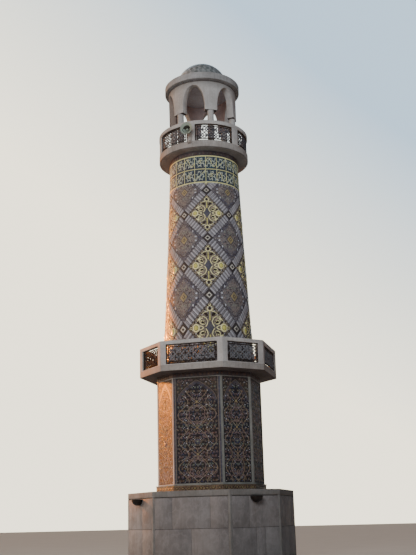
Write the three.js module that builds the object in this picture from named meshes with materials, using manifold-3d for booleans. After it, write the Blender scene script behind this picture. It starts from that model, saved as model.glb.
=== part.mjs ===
// Tiled minaret with two balconies, an open lantern and a small dome.
// Millimetres, +Z up, the origin at the centre of the base on the ground.
// The lower part is an eight-sided figure whose faces are wide and narrow in turn.
// Its wide faces look along the axes, and the front one looks toward -Y.
// An azimuth is measured from -Y toward +X.

import * as THREE from 'three';
import { mergeVertices } from 'three/addons/utils/BufferGeometryUtils.js';
import Module from 'manifold-3d';

const wasm = await Module();
wasm.setup();

// Driving dimensions: a reach is the distance from the axis to a wide face.
const GAP = 0.3;
const WIDE_HALF_ANGLE = THREE.MathUtils.degToRad(26.06);
const ROUND_SIDES = 48;
const FACE_NAMES = [
  'front', 'front_right', 'right', 'back_right',
  'back', 'back_left', 'left', 'front_left',
];

const PLINTH = { reach: 2713, wall: 400, top: 2245, strip: 70, recess: 20 };
const COPING = { lip: 40, reveal: 25, top: 2460 };
const UPLIGHT = { radius: 212, height: 205, shell: 10, standoff: 100, top: 2232, sides: 16, steps: 4 };

const BASE_BAND = { reach: 1801, fillet: 22, filletFoot: 2655, top: 2690 };
const LOWER_SHAFT = { reach: 1752, wall: 300, top: 6550, strip: 100, pocket: 25 };
const MOSAIC = { foot: 2722, top: 6350, thickness: 20 };

const BALCONY = { reach: 2318, soffit: 6550, floor: 6750 };
const PARAPET = { wall: 180, opening: 6785, lintel: 7490, top: 7620, post: 200 };
const GRILLE = {
  thickness: 24, setback: 60, frame: 34, slot: 34, inner: 26, tie: 60, bar: 22, rows: 2, stretch: 1.3,
};

const SHAFT = { foot: 1700, head: 1340, top: 15120, wall: 280, taper: 1.25 };
const SHAFT_RINGS = [8900, 11200];
const BAND = { foot: 13800, top: 14920, depth: 22, fillet: 44, proud: 12 };

const GALLERY = { radius: 1757, soffit: 15120, floor: 15370, wall: 150, lintel: 16060, top: 16210 };
const BAYS = 6;
const BAY_ANGLE = 2 * Math.PI / BAYS;
const GALLERY_POST_ANGLE = THREE.MathUtils.degToRad(9.5);
const GALLERY_GRILLE = { setback: 40, thickness: 24, frame: 40, bar: 26, across: 4, rows: 2 };

const ARCADE = { radius: 1350, wall: 270, foot: 16862, springing: 17050, crown: 17944, top: 18120 };
const ARCH_HALF_ANGLE = THREE.MathUtils.degToRad(19.25);
const COLUMN = { radius: 125, sides: 16 };

const ROOF = { radius: 1500, top: 18400 };
const DOME = { radius: 1050, sink: 20, shell: 110, sides: 36, steps: 8, innerSteps: 4 };

const HORN = {
  azimuth: -3.75, aside: 62, mouth: 2150, height: 15740, radius: 238, depth: 235, shell: 7, sides: 20,
};
const FLARE = { rate: 2.2, steps: 6 };
const DRIVER = { radius: 75, length: 120, neck: 48, throat: 40, chamfer: 12, shoulder: 14, floor: 12 };
const PLUG = { neck: 28, radius: 48, widest: 95, shoulder: 118, tip: 124 };
const YOKE = { strap: 8, width: 50, drop: 470, flange: 150, foot: 100 };

// Finishes
function finish(color, roughness, metalness) {
  return new THREE.MeshStandardMaterial({ color, roughness, metalness });
}

const STONE = finish(0x8d837b, 0.7, 0);
const RENDER = finish(0xa09892, 0.85, 0);
const FRAME_STONE = finish(0x9a948c, 0.75, 0);
const MOSAIC_TILE = finish(0x45404a, 0.4, 0);
const SHAFT_TILE = finish(0x7d7478, 0.45, 0);
const BAND_TILE = finish(0x4a5a6c, 0.4, 0);
const BASE_TILE = finish(0x8a6a48, 0.5, 0);
const IRON = finish(0x2c2622, 0.5, 0.6);
const DOME_TILE = finish(0x686e6a, 0.5, 0);
const HORN_METAL = finish(0x7f8a80, 0.5, 0.3);

const minaret = new THREE.Group();

function add(name, geometry, material, turn = 0) {
  const mesh = new THREE.Mesh(geometry, material);
  mesh.name = name;
  mesh.rotation.z = turn;
  minaret.add(mesh);
}

// Joins and cuts
function solid(geometry) {
  const bare = geometry.clone();
  bare.deleteAttribute('normal');
  bare.deleteAttribute('uv');
  const merged = mergeVertices(bare, 1e-3);
  const triVerts = Uint32Array.from(merged.index.array);
  const vertProperties = Float32Array.from(merged.attributes.position.array);
  return new wasm.Manifold(new wasm.Mesh({ numProp: 3, vertProperties, triVerts }));
}

function geometryOf(body) {
  const mesh = body.getMesh();
  const geometry = new THREE.BufferGeometry();
  geometry.setAttribute('position', new THREE.BufferAttribute(mesh.vertProperties, 3));
  geometry.setIndex(new THREE.BufferAttribute(mesh.triVerts, 1));
  return geometry;
}

function cut(geometry, tools) {
  return geometryOf(tools.reduce((body, tool) => body.subtract(solid(tool)), solid(geometry)));
}

function join(geometries) {
  return geometryOf(geometries.map(solid).reduce((body, piece) => body.add(piece)));
}

// Plane shapes and the solids made from them
function octagon(reach, inset = 0) {
  const a = reach - inset;
  const b = reach * Math.tan(WIDE_HALF_ANGLE) - inset * (Math.SQRT2 - 1);
  const corners = [[a, -b], [a, b], [b, a], [-b, a], [-a, b], [-a, -b], [-b, -a], [b, -a]];
  return corners.map(([x, y]) => new THREE.Vector2(x, y));
}

function prism(outline, low, high, holes = []) {
  const shape = new THREE.Shape(outline);
  shape.holes = holes.map((hole) => new THREE.Path(hole));
  const geometry = new THREE.ExtrudeGeometry(shape, { depth: high - low, bevelEnabled: false });
  return geometry.translate(0, 0, low);
}

function turned(profile, sides) {
  const points = profile.map(([radius, height]) => new THREE.Vector2(radius, height));
  return new THREE.LatheGeometry(points, sides).rotateX(Math.PI / 2);
}

function ring(inner, outer, low, high, sides) {
  return turned([[inner, low], [outer, low], [outer, high], [inner, high], [inner, low]], sides);
}

// A block between two radii and two azimuths
function sector(inner, outer, from, to, low, high, steps) {
  const along = (radius, step) => {
    const azimuth = from + (to - from) * step / steps;
    return new THREE.Vector2(radius * Math.sin(azimuth), -radius * Math.cos(azimuth));
  };
  const outerArc = Array.from({ length: steps + 1 }, (_, step) => along(outer, step));
  const innerArc = Array.from({ length: steps + 1 }, (_, step) => along(inner, steps - step));
  return prism([...outerArc, ...innerArc], low, high);
}

function block(width, depth, height, x, y, z) {
  return new THREE.BoxGeometry(width, depth, height).translate(x, y, z + height / 2);
}

// Width and distance of an octagon's face; even faces are the wide ones
function faceOf(reach, index) {
  const b = reach * Math.tan(WIDE_HALF_ANGLE);
  if (index % 2 === 0) return { width: 2 * b, distance: reach };
  return { width: Math.SQRT2 * (reach - b), distance: (reach + b) / Math.SQRT2 };
}

const faceTurn = (index) => index * Math.PI / 4;

// Shallow pockets between the corner strips of an eight-sided wall
function facePockets(reach, strip, depth, low, high) {
  return FACE_NAMES.map((_, index) => {
    const { width, distance } = faceOf(reach, index);
    const pocket = block(width - 2 * strip, 2 * depth, high - low, 0, -distance, low);
    return pocket.rotateZ(faceTurn(index));
  });
}

// Plinth with its coping and the four bowl lights, whose backs are cut flush with the wall
function addPlinth() {
  const { reach, wall, top, strip, recess } = PLINTH;
  const shell = prism(octagon(reach), 0, top, [octagon(reach, wall)]);
  add('plinth_wall', cut(shell, facePockets(reach, strip, recess, -1, top + 1)), STONE);

  const lip = prism(octagon(reach, COPING.lip), top + GAP, top + COPING.reveal + 1);
  const slab = prism(octagon(reach), top + COPING.reveal, COPING.top);
  add('plinth_coping', join([lip, slab]), STONE);
}

function bowlProfile() {
  const { radius, height, shell, steps } = UPLIGHT;
  const arc = (r, h, step) => {
    const angle = step / steps * Math.PI / 2;
    return [r * Math.sin(angle), -h * Math.cos(angle)];
  };
  const outside = Array.from({ length: steps + 1 }, (_, step) => arc(radius, height, step));
  const inside = Array.from({ length: steps + 1 }, (_, step) =>
    arc(radius - shell, height - shell, steps - step));
  return [...outside, ...inside];
}

function addUplights() {
  FACE_NAMES.forEach((name, index) => {
    if (index % 2 === 0) return;
    const wallPlane = faceOf(PLINTH.reach, index).distance - PLINTH.recess + GAP;
    const size = 3 * UPLIGHT.radius;
    const behind = block(size, size, size, 0, UPLIGHT.standoff + size / 2, -size / 2);
    const bowl = cut(turned(bowlProfile(), UPLIGHT.sides), [behind]);
    bowl.translate(0, -wallPlane - UPLIGHT.standoff, UPLIGHT.top);
    add(`uplight_${name}`, bowl, IRON, faceTurn(index));
  });
}

// Eight-sided lower shaft on its ornamental course
function addLowerShaft() {
  const inner = LOWER_SHAFT.reach - LOWER_SHAFT.wall;
  const bodyFoot = COPING.top + GAP;
  const { reach, fillet, filletFoot, top } = BASE_BAND;
  const body = prism(octagon(reach), bodyFoot, top, [octagon(inner)]);
  const edge = prism(octagon(reach + fillet), filletFoot, top, [octagon(inner + 1)]);
  add('base_band', join([body, edge]), BASE_TILE);

  const shell = prism(octagon(LOWER_SHAFT.reach), top + GAP, LOWER_SHAFT.top - GAP, [octagon(inner)]);
  const pockets = facePockets(
    LOWER_SHAFT.reach, LOWER_SHAFT.strip, LOWER_SHAFT.pocket, MOSAIC.foot, MOSAIC.top);
  add('lower_shaft', cut(shell, pockets), FRAME_STONE);

  FACE_NAMES.forEach((name, index) => {
    const { width, distance } = faceOf(LOWER_SHAFT.reach, index);
    const backPlane = distance - LOWER_SHAFT.pocket + GAP;
    const panel = block(
      width - 2 * (LOWER_SHAFT.strip + GAP), MOSAIC.thickness, MOSAIC.top - MOSAIC.foot - 2 * GAP,
      0, -backPlane - MOSAIC.thickness / 2, MOSAIC.foot + GAP);
    add(`mosaic_${name}`, panel, MOSAIC_TILE, faceTurn(index));
  });
}

// Lower balcony: floor slab, parapet with one opening a face, and the iron grilles
function addLowerBalcony() {
  const { reach, soffit, floor } = BALCONY;
  add('lower_balcony_slab', prism(octagon(reach), soffit, floor), RENDER);

  const { wall, opening, lintel, top, post } = PARAPET;
  const shell = prism(octagon(reach), floor + GAP, top, [octagon(reach, wall)]);
  const openings = FACE_NAMES.map((_, index) => {
    const { width, distance } = faceOf(reach, index);
    const hole = block(width - 2 * post, 4 * wall, lintel - opening, 0, -distance, opening);
    return hole.rotateZ(faceTurn(index));
  });
  add('lower_parapet', cut(shell, openings), RENDER);

  FACE_NAMES.forEach((name, index) => {
    const { width, distance } = faceOf(reach, index);
    const grille = flatGrille(width - 2 * post - 2 * GAP, lintel - opening - 2 * GAP);
    grille.translate(0, GRILLE.setback - distance, (opening + lintel) / 2);
    add(`lower_grille_${name}`, grille, IRON, faceTurn(index));
  });
}

function rectangle(left, right, low, high) {
  return [[left, low], [right, low], [right, high], [left, high]]
    .map(([x, y]) => new THREE.Vector2(x, y));
}

function lozenge(x, y, halfWidth, halfHeight) {
  return [[x - halfWidth, y], [x, y - halfHeight], [x + halfWidth, y], [x, y + halfHeight]]
    .map(([px, py]) => new THREE.Vector2(px, py));
}

// Outer frame, an open slot inside it, and an inner frame with lozenge openwork
function flatGrille(width, height) {
  const { thickness, frame, slot, inner, tie, bar, rows, stretch } = GRILLE;
  const halfWidth = width / 2 - frame;
  const halfHeight = height / 2 - frame;
  const holes = [-1, 1].flatMap((side) => {
    const upright = [side * halfWidth, side * (halfWidth - slot)].sort((a, b) => a - b);
    const level = [side * halfHeight, side * (halfHeight - slot)].sort((a, b) => a - b);
    return [
      rectangle(upright[0], upright[1], tie - halfHeight, halfHeight - tie),
      rectangle(tie - halfWidth, halfWidth - tie, level[0], level[1]),
    ];
  });
  const fieldWidth = 2 * (halfWidth - slot - inner);
  const fieldHeight = 2 * (halfHeight - slot - inner);
  const pitchY = fieldHeight / rows;
  const columns = Math.round(fieldWidth / (pitchY * stretch));
  const pitchX = fieldWidth / columns;
  for (let column = 0; column < columns; column += 1) {
    for (let row = 0; row < rows; row += 1) {
      const x = (column + 0.5) * pitchX - fieldWidth / 2;
      const y = (row + 0.5) * pitchY - fieldHeight / 2;
      holes.push(lozenge(x, y, pitchX / 2 - bar, pitchY / 2 - bar));
    }
  }
  const plate = new THREE.BoxGeometry(width, height, thickness);
  const tools = holes.map((hole) => prism(hole, -thickness, thickness));
  return cut(plate, tools).rotateX(Math.PI / 2);
}

// Round shaft, a little hollow in its taper, with a seat for the ornament band
function shaftRadius(height) {
  const share = (SHAFT.top - height) / (SHAFT.top - BALCONY.floor);
  return SHAFT.head + (SHAFT.foot - SHAFT.head) * share ** SHAFT.taper;
}

function addRoundShaft() {
  const onSurface = (height, offset = 0) => [shaftRadius(height) + offset, height];
  const foot = BALCONY.floor + GAP;
  const head = SHAFT.top - GAP;
  const { foot: low, top: high, depth, fillet, proud } = BAND;
  add('round_shaft', turned([
    onSurface(foot),
    ...SHAFT_RINGS.map((height) => onSurface(height)),
    onSurface(low),
    onSurface(low, -depth),
    onSurface(high, -depth),
    onSurface(high),
    onSurface(head),
    onSurface(head, -SHAFT.wall),
    onSurface(foot, -SHAFT.wall),
    onSurface(foot),
  ], ROUND_SIDES), SHAFT_TILE);

  const seat = GAP - depth;
  add('ornament_band', turned([
    onSurface(low + GAP, seat),
    onSurface(low + GAP, proud),
    onSurface(low + fillet, proud),
    onSurface(low + fillet),
    onSurface(high - fillet),
    onSurface(high - fillet, proud),
    onSurface(high - GAP, proud),
    onSurface(high - GAP, seat),
    onSurface(low + GAP, seat),
  ], ROUND_SIDES), BAND_TILE);
}

// Upper balcony: round slab, six posts under a ring rail, and six curved grilles
function addUpperBalcony() {
  const { radius, soffit, floor, wall, lintel, top } = GALLERY;
  const slab = turned([[0, soffit], [radius, soffit], [radius, floor], [0, floor]], ROUND_SIDES);
  add('upper_balcony_slab', slab, RENDER);

  const halfPost = GALLERY_POST_ANGLE / 2;
  const shell = ring(radius - wall, radius, floor + GAP, top, ROUND_SIDES);
  const bays = Array.from({ length: BAYS }, (_, bay) => sector(
    radius - 2 * wall, radius + wall, bay * BAY_ANGLE + halfPost, (bay + 1) * BAY_ANGLE - halfPost,
    floor - 1, lintel, 6));
  add('upper_parapet', cut(shell, bays), RENDER);

  const halfBay = BAY_ANGLE / 2 - halfPost;
  for (let bay = 0; bay < BAYS; bay += 1) {
    add(`upper_grille_${bay + 1}`, curvedGrille(halfBay), IRON, (bay + 0.5) * BAY_ANGLE);
  }
}

function curvedGrille(halfBay) {
  const { setback, thickness, frame, bar, across, rows } = GALLERY_GRILLE;
  const outer = GALLERY.radius - setback;
  const inner = outer - thickness;
  const halfAngle = halfBay - 2 * GAP / inner;
  const low = GALLERY.floor + GAP;
  const high = GALLERY.lintel - GAP;
  const plate = sector(inner, outer, -halfAngle, halfAngle, low, high, 6);
  const pitchAngle = 2 * (halfAngle - frame / outer) / across;
  const pitchHeight = (high - low - 2 * frame) / rows;
  const tools = [];
  for (let column = 0; column < across; column += 1) {
    for (let row = 0; row < rows; row += 1) {
      const azimuth = (column + 0.5 - across / 2) * pitchAngle;
      const height = low + frame + (row + 0.5) * pitchHeight;
      const halfWidth = outer * pitchAngle / 2 - bar;
      const outline = lozenge(0, 0, halfWidth, pitchHeight / 2 - bar);
      const tool = prism(outline, inner - 2 * bar, outer + 2 * bar).rotateX(Math.PI / 2);
      tools.push(tool.translate(0, 0, height).rotateZ(azimuth));
    }
  }
  return cut(plate, tools);
}

// Lantern: six columns and a ring wall cut by six arches whose jambs run to the axis
function archTool() {
  const { radius, foot, springing, crown } = ARCADE;
  const halfWidth = radius * Math.tan(ARCH_HALF_ANGLE);
  const shape = new THREE.Shape();
  shape.moveTo(-halfWidth, foot - 10);
  shape.lineTo(halfWidth, foot - 10);
  shape.lineTo(halfWidth, springing);
  shape.absellipse(0, springing, halfWidth, crown - springing, 0, Math.PI, false, 0);
  shape.closePath();
  const near = radius / 2;
  const far = radius * 1.2;
  const options = { depth: far - near, bevelEnabled: false, curveSegments: 9 };
  const tool = new THREE.ExtrudeGeometry(shape, options).rotateX(Math.PI / 2).translate(0, -near, 0);
  const position = tool.attributes.position;
  for (let index = 0; index < position.count; index += 1) {
    position.setX(index, position.getX(index) * -position.getY(index) / radius);
  }
  return tool;
}

function addLantern() {
  const { radius, wall, foot, top } = ARCADE;
  const shell = ring(radius - wall, radius, foot, top - GAP, ROUND_SIDES);
  const arches = Array.from({ length: BAYS }, (_, bay) => archTool().rotateZ(bay * BAY_ANGLE));
  add('lantern_arcade', cut(shell, arches), RENDER);

  for (let bay = 0; bay < BAYS; bay += 1) {
    const height = foot - GALLERY.floor - 2 * GAP;
    const column = new THREE.CylinderGeometry(COLUMN.radius, COLUMN.radius, height, COLUMN.sides)
      .rotateX(Math.PI / 2)
      .translate(0, wall / 2 - radius, GALLERY.floor + GAP + height / 2);
    add(`lantern_column_${bay + 1}`, column, RENDER, (bay + 0.5) * BAY_ANGLE);
  }
}

// Flat roof slab and the dome, whose centre lies a little below the slab's top
function addRoof() {
  const { radius, top } = ROOF;
  const low = ARCADE.top;
  const slab = turned([[0, low], [radius, low], [radius, top], [0, top]], ROUND_SIDES);
  add('roof_slab', slab, RENDER);

  const { sink, shell, sides, steps, innerSteps } = DOME;
  const arc = (r, share) => {
    const lowest = Math.asin((sink + GAP) / r);
    const angle = lowest + share * (Math.PI / 2 - lowest);
    return [r * Math.cos(angle), top - sink + r * Math.sin(angle)];
  };
  const outside = Array.from({ length: steps + 1 }, (_, step) => arc(DOME.radius, step / steps));
  const inside = Array.from({ length: innerSteps + 1 }, (_, step) =>
    arc(DOME.radius - shell, 1 - step / innerSteps));
  add('dome', turned([...outside, ...inside, outside[0]], sides), DOME_TILE);
}

// Horn loudspeaker on the front post of the upper parapet, carried by a bent strap yoke
function hornProfile() {
  const { radius, depth, shell } = HORN;
  const { rate, steps } = FLARE;
  const flare = (step, offset) => {
    const share = step / steps;
    const growth = (Math.exp(rate * share) - 1) / (Math.exp(rate) - 1);
    return [DRIVER.neck + (radius - DRIVER.neck) * growth - offset, depth * (share - 1)];
  };
  const outside = Array.from({ length: steps + 1 }, (_, step) => flare(step, 0));
  const inside = Array.from({ length: steps }, (_, step) => flare(steps - step, shell));
  const { radius: can, throat, chamfer, shoulder, floor } = DRIVER;
  const back = -depth - DRIVER.length;
  return [
    [0, back], [can - chamfer, back], [can, back + chamfer],
    [can, -depth - shoulder], [can - shoulder, -depth],
    ...outside, ...inside,
    [throat, floor - depth], [PLUG.neck, floor - depth],
    [PLUG.radius, PLUG.widest - depth], [PLUG.neck, PLUG.shoulder - depth], [0, PLUG.tip - depth],
  ];
}

function addHorn() {
  const azimuth = THREE.MathUtils.degToRad(HORN.azimuth);
  const horn = turned(hornProfile(), HORN.sides).rotateX(Math.PI / 2);
  add('speaker_horn', horn.translate(HORN.aside, -HORN.mouth, HORN.height), HORN_METAL, azimuth);

  const { strap, width, drop, flange, foot } = YOKE;
  const reachIn = HORN.mouth - HORN.depth - DRIVER.length / 2;
  const wallPlane = GALLERY.radius * Math.cos(Math.PI / ROUND_SIDES) + GAP;
  const arm = DRIVER.radius + GAP;
  const low = HORN.height - drop;
  const bar = block(2 * (arm + strap), width, strap, 0, -reachIn, low);
  const uprights = [-1, 1].map((side) =>
    block(strap, width, drop, side * (arm + strap / 2), -reachIn, low));
  const shelfDepth = reachIn - wallPlane;
  const shelf = block(foot, shelfDepth, strap, 0, -wallPlane - shelfDepth / 2, low);
  const plate = block(foot, strap, flange, 0, -wallPlane - strap / 2, low);
  const yoke = join([bar, ...uprights, shelf, plate]).translate(HORN.aside, 0, 0);
  add('speaker_yoke', yoke, IRON, azimuth);
}

addPlinth();
addUplights();
addLowerShaft();
addLowerBalcony();
addRoundShaft();
addUpperBalcony();
addLantern();
addRoof();
addHorn();

export default minaret;
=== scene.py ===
"""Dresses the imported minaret: stone, render, glazed lattice, mosaic, ironwork, dome and horn.

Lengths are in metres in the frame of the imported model: +Z up, the front wide face of the
octagon toward -Y. An azimuth is measured from -Y toward +X. Flat work is drawn in a plane,
x to the right and z up, with its relief toward -y, and is then laid on its wall.
"""

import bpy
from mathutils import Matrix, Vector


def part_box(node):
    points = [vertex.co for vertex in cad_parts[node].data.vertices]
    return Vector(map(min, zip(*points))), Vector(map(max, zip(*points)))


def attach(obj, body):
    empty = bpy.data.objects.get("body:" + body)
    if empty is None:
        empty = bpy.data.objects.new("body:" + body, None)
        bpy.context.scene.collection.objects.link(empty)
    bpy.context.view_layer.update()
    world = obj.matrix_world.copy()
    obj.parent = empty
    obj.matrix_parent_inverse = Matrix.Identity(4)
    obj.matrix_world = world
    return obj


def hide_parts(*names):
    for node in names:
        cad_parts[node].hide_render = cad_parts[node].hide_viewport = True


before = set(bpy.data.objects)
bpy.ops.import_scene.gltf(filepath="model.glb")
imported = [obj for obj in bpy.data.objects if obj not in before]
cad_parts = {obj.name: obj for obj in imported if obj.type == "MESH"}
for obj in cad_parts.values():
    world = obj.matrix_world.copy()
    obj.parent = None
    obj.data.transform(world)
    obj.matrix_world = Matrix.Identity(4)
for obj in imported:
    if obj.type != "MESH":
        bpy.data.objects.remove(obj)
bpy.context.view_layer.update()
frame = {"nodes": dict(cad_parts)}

import logging
import math
import random
from abc import ABC, abstractmethod
from collections.abc import Callable, Iterable, Sequence
from dataclasses import dataclass, replace
from enum import Enum
from math import cos, pi, radians, sin, sqrt, tau

import bmesh
import bpy
from mathutils import Matrix, Vector

LOG = logging.getLogger("minaret")

BMesh, BMFace, BMVert = bmesh.types.BMesh, bmesh.types.BMFace, bmesh.types.BMVert
Point = tuple[float, float]
Shade = tuple[float, float, float]

BODY = "root"
FACE_NAMES = (
    "front", "front_right", "right", "back_right", "back", "back_left", "left", "front_left")
FACES = range(len(FACE_NAMES))
WIDE_HALF_ANGLE = radians(26.06)
BAYS = 6
BAY_ANGLE = tau / BAYS
ROUND_STEPS = 144
SMOOTH_ANGLE = radians(34.0)
DOUBLES = 1e-5
LONGEST_STRETCH = 0.1
TINT_SEED = 7
DOME_SEED = 11


def linear(value: float) -> float:
    """Turns one channel of a display colour, 0 to 255, into a linear share."""
    share = value / 255
    return share / 12.92 if share <= 0.04045 else ((share + 0.055) / 1.055) ** 2.4


def spread(start: float, end: float, steps: int) -> list[float]:
    """Gives evenly spaced values from the start to the end, both included."""
    return [start + (end - start) * step / steps for step in range(steps + 1)]


def polar(azimuth: float, radius: float, height: float = 0.0) -> Vector:
    """Gives the place at an azimuth, a distance from the axis and a height."""
    return Vector((radius * sin(azimuth), -radius * cos(azimuth), height))


# Materials

def math_node(operation: str, swapped: bool = False) -> Callable[..., "Signal"]:
    """Makes an operator that adds one Math node.

    Args:
        operation: The node's operation.
        swapped: Puts the signal second.

    Returns:
        The operator.
    """
    def operator(self: "Signal", other: "Value" = 0.0) -> "Signal":
        """Adds the node."""
        values = {0: other, 1: self} if swapped else {0: self, 1: other}
        return self.graph.node("ShaderNodeMath", {"operation": operation}, values)

    return operator


class Signal:
    """A number or colour in a node tree; arithmetic on it adds Math nodes."""

    __add__ = __radd__ = math_node("ADD")
    __mul__ = __rmul__ = math_node("MULTIPLY")
    __sub__, __rsub__ = math_node("SUBTRACT"), math_node("SUBTRACT", True)
    __abs__, least = math_node("ABSOLUTE"), math_node("MINIMUM")

    def __init__(self, graph: "Graph", socket: bpy.types.NodeSocket) -> None:
        """Wraps one output socket of a graph."""
        self.graph, self.socket = graph, socket

    def between(self, low: float, high: float) -> "Signal":
        """Maps the values from low to high onto 0 to 1, clamped."""
        return self.graph.node("ShaderNodeMapRange", {"clamp": True}, {1: low, 2: high, 0: self})


Value = Signal | float | Shade


class Graph:
    """The node tree of a material or of the surroundings, with short names for what they use."""

    def __init__(self, owner: bpy.types.Material | bpy.types.World, place: str = "Object") -> None:
        """Empties the owner's tree and reads coordinates.

        Args:
            owner: The material or the surroundings.
            place: The kind of coordinates.
        """
        self.owner = owner
        owner.use_nodes = True
        self.tree = owner.node_tree
        self.tree.nodes.clear()
        self.place = self.node("ShaderNodeTexCoord", output=place)

    def node(self, kind: str, settings: dict[str, object] | None = None,
             values: dict[int | str, Value] | None = None, output: int | str = 0) -> Signal:
        """Adds a node.

        Args:
            kind: The node's type.
            settings: Its properties, set before anything else.
            values: Numbers, display colours or signals for its input sockets.
            output: The output to return.

        Returns:
            The chosen output.
        """
        node = self.tree.nodes.new(kind)
        for key, value in (settings or {}).items():
            setattr(node, key, value)
        for key, value in (values or {}).items():
            socket = node.inputs[key]
            if isinstance(value, Signal):
                self.tree.links.new(value.socket, socket)
            elif socket.type == "RGBA":
                socket.default_value = (*map(linear, value), 1.0)
            else:
                socket.default_value = value
        return Signal(self, node.outputs[output])

    def mix(self, share: Value, first: Value, second: Value) -> Signal:
        """Blends two colours by the share of the second."""
        return self.node("ShaderNodeMix", {"data_type": "RGBA"}, {0: share, 6: first, 7: second}, 2)

    def stretched(self, x: float, y: float, z: float) -> Signal:
        """Gives the object coordinates multiplied axis by axis."""
        return self.node(
            "ShaderNodeVectorMath", {"operation": "MULTIPLY"}, {0: self.place, 1: (x, y, z)})

    def noise(self, scale: float, detail: float = 4.0, at: Signal | None = None) -> Signal:
        """Gives soft noise from 0 to 1: its cells a metre, its octaves and where it is read."""
        return self.node("ShaderNodeTexNoise", None, {
            "Vector": at or self.place, "Scale": scale, "Detail": detail, "Roughness": 0.6})

    def cells(self, scale: float, output: str = "Color") -> Signal:
        """Gives irregular cells, by colour or by distance."""
        return self.node(
            "ShaderNodeTexVoronoi", None, {"Vector": self.place, "Scale": scale}, output)

    def axis(self, name: str) -> Signal:
        """Gives one of the coordinates."""
        return self.node("ShaderNodeSeparateXYZ", None, {0: self.place}, name)

    def tint(self) -> Signal:
        """Gives the random number that each tile or stone carries, from -1 to 1."""
        return self.node("ShaderNodeAttribute", {"attribute_name": "tint"}, output="Fac")

    def shade(self, colour: Value, change: Value) -> Signal:
        """Makes a colour lighter or darker by a share."""
        return self.node("ShaderNodeHueSaturation", None, {"Color": colour, "Value": change})

    def close(self, colour: Value, roughness: Value, height: Signal | None = None,
              bump: float = 0.002, metallic: Value = 0.0, coat: float = 0.0) -> None:
        """Ends the tree in a surface shader.

        Args:
            colour: Base colour.
            roughness: Roughness.
            height: Relief from 0 to 1, or None.
            bump: The relief's height in metres.
            metallic: Metallic share.
            coat: Weight of the clear coat.
        """
        values: dict[int | str, Value] = {
            "Base Color": colour, "Roughness": roughness, "Metallic": metallic,
            "Coat Weight": coat, "Coat Roughness": 0.15}
        if height is not None:
            values["Normal"] = self.node(
                "ShaderNodeBump", None, {"Height": height, "Distance": bump, "Strength": 1.0})
        self.end("ShaderNodeOutputMaterial", self.node("ShaderNodeBsdfPrincipled", None, values))

    def end(self, kind: str, shader: Signal) -> None:
        """Links a shader to an output of the given kind."""
        output = self.tree.nodes.new(kind)
        self.tree.links.new(shader.socket, output.inputs["Surface"])


@dataclass(frozen=True)
class Finish(ABC):
    """A named surface finish; its shades are display colours from 0 to 255."""

    name: str

    @abstractmethod
    def build(self) -> None:
        """Makes the material."""

    def graph(self) -> Graph:
        """Starts a new material of the finish's name."""
        return Graph(bpy.data.materials.new(self.name))

    def material(self) -> bpy.types.Material:
        """Gives the material, made once."""
        if self.name not in bpy.data.materials:
            self.build()
        return bpy.data.materials[self.name]


@dataclass(frozen=True)
class SlabStone(Finish):
    """Honed stone with cloudy veins, fine pits and brown runs below the wall lights."""

    light: Shade
    dark: Shade
    run: Shade

    def build(self) -> None:
        """Makes the material."""
        graph = self.graph()
        cloud = graph.noise(1.1, 6.0)
        swirl = graph.noise(2.6, 8.0, graph.stretched(1.0, 1.0, 0.7))
        vein = 1.0 - abs(swirl - 0.5).between(0.0, 0.05)
        grain = graph.noise(55.0, 3.0)
        colour = graph.mix(cloud.between(0.3, 0.7), self.dark, self.light)
        colour = graph.mix(vein * 0.35, colour, graph.shade(self.light, 1.12))
        streak = graph.noise(5.0, 5.0, graph.stretched(3.0, 3.0, 0.22)).between(0.52, 0.8)
        colour = graph.mix(streak * 0.4, colour, graph.shade(self.dark, 0.72))
        x, y, height = (graph.axis(name) for name in "XYZ")
        across = abs(x + y).least(abs(x - y))
        under = (1.0 - across.between(0.05, 0.25)) * height.between(1.25, 1.95)
        under = under * graph.noise(9.0, 4.0, graph.stretched(2.0, 2.0, 0.4)).between(0.35, 0.65)
        colour = graph.mix(under * 0.55, colour, self.run)
        # The stone is darker towards the ground.
        foot_darkening = 0.84 + height.between(0.3, 1.7) * 0.16
        colour = graph.shade(colour, (1.0 + graph.tint() * 0.06) * foot_darkening)
        rough = 0.5 + graph.noise(18.0) * 0.25
        graph.close(colour, rough, grain * 0.6 + swirl * 0.4, 0.0015)


@dataclass(frozen=True)
class Render(Finish):
    """Cement render or pale stone, mottled, with dirt that has run down it and painted shadow below
    an eave.
    """

    light: Shade
    dark: Shade
    dirt: Shade
    soiling: float = 0.5
    # Height of an eave over the coat: below it the coat takes painted shadow; 0 for none.
    eave: float = 0.0

    def build(self) -> None:
        """Makes the material."""
        graph = self.graph()
        patch = graph.noise(1.7, 5.0)
        grain = graph.noise(70.0, 3.0)
        colour = graph.mix(patch.between(0.32, 0.68), self.dark, self.light)
        colour = graph.mix(graph.noise(14.0, 4.0).between(0.45, 0.75) * 0.3, colour, self.dirt)
        streak = graph.noise(6.0, 5.0, graph.stretched(2.6, 2.6, 0.3)).between(0.5, 0.78)
        colour = graph.mix(streak * self.soiling, colour, self.dirt)
        colour = graph.shade(colour, 1.0 + graph.tint() * 0.08)
        # Painted shadow: the coat darkens up toward the eave, standing in for the shade under the
        # roof's overhang.
        if self.eave:
            painted_eave_shadow = graph.axis("Z").between(self.eave - 0.32, self.eave)
            colour = graph.shade(colour, 1.0 - painted_eave_shadow * 0.42)
        height = grain * 0.5 + graph.noise(12.0, 5.0) * 0.5
        graph.close(colour, 0.78 + patch * 0.15, height, 0.003)


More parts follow.
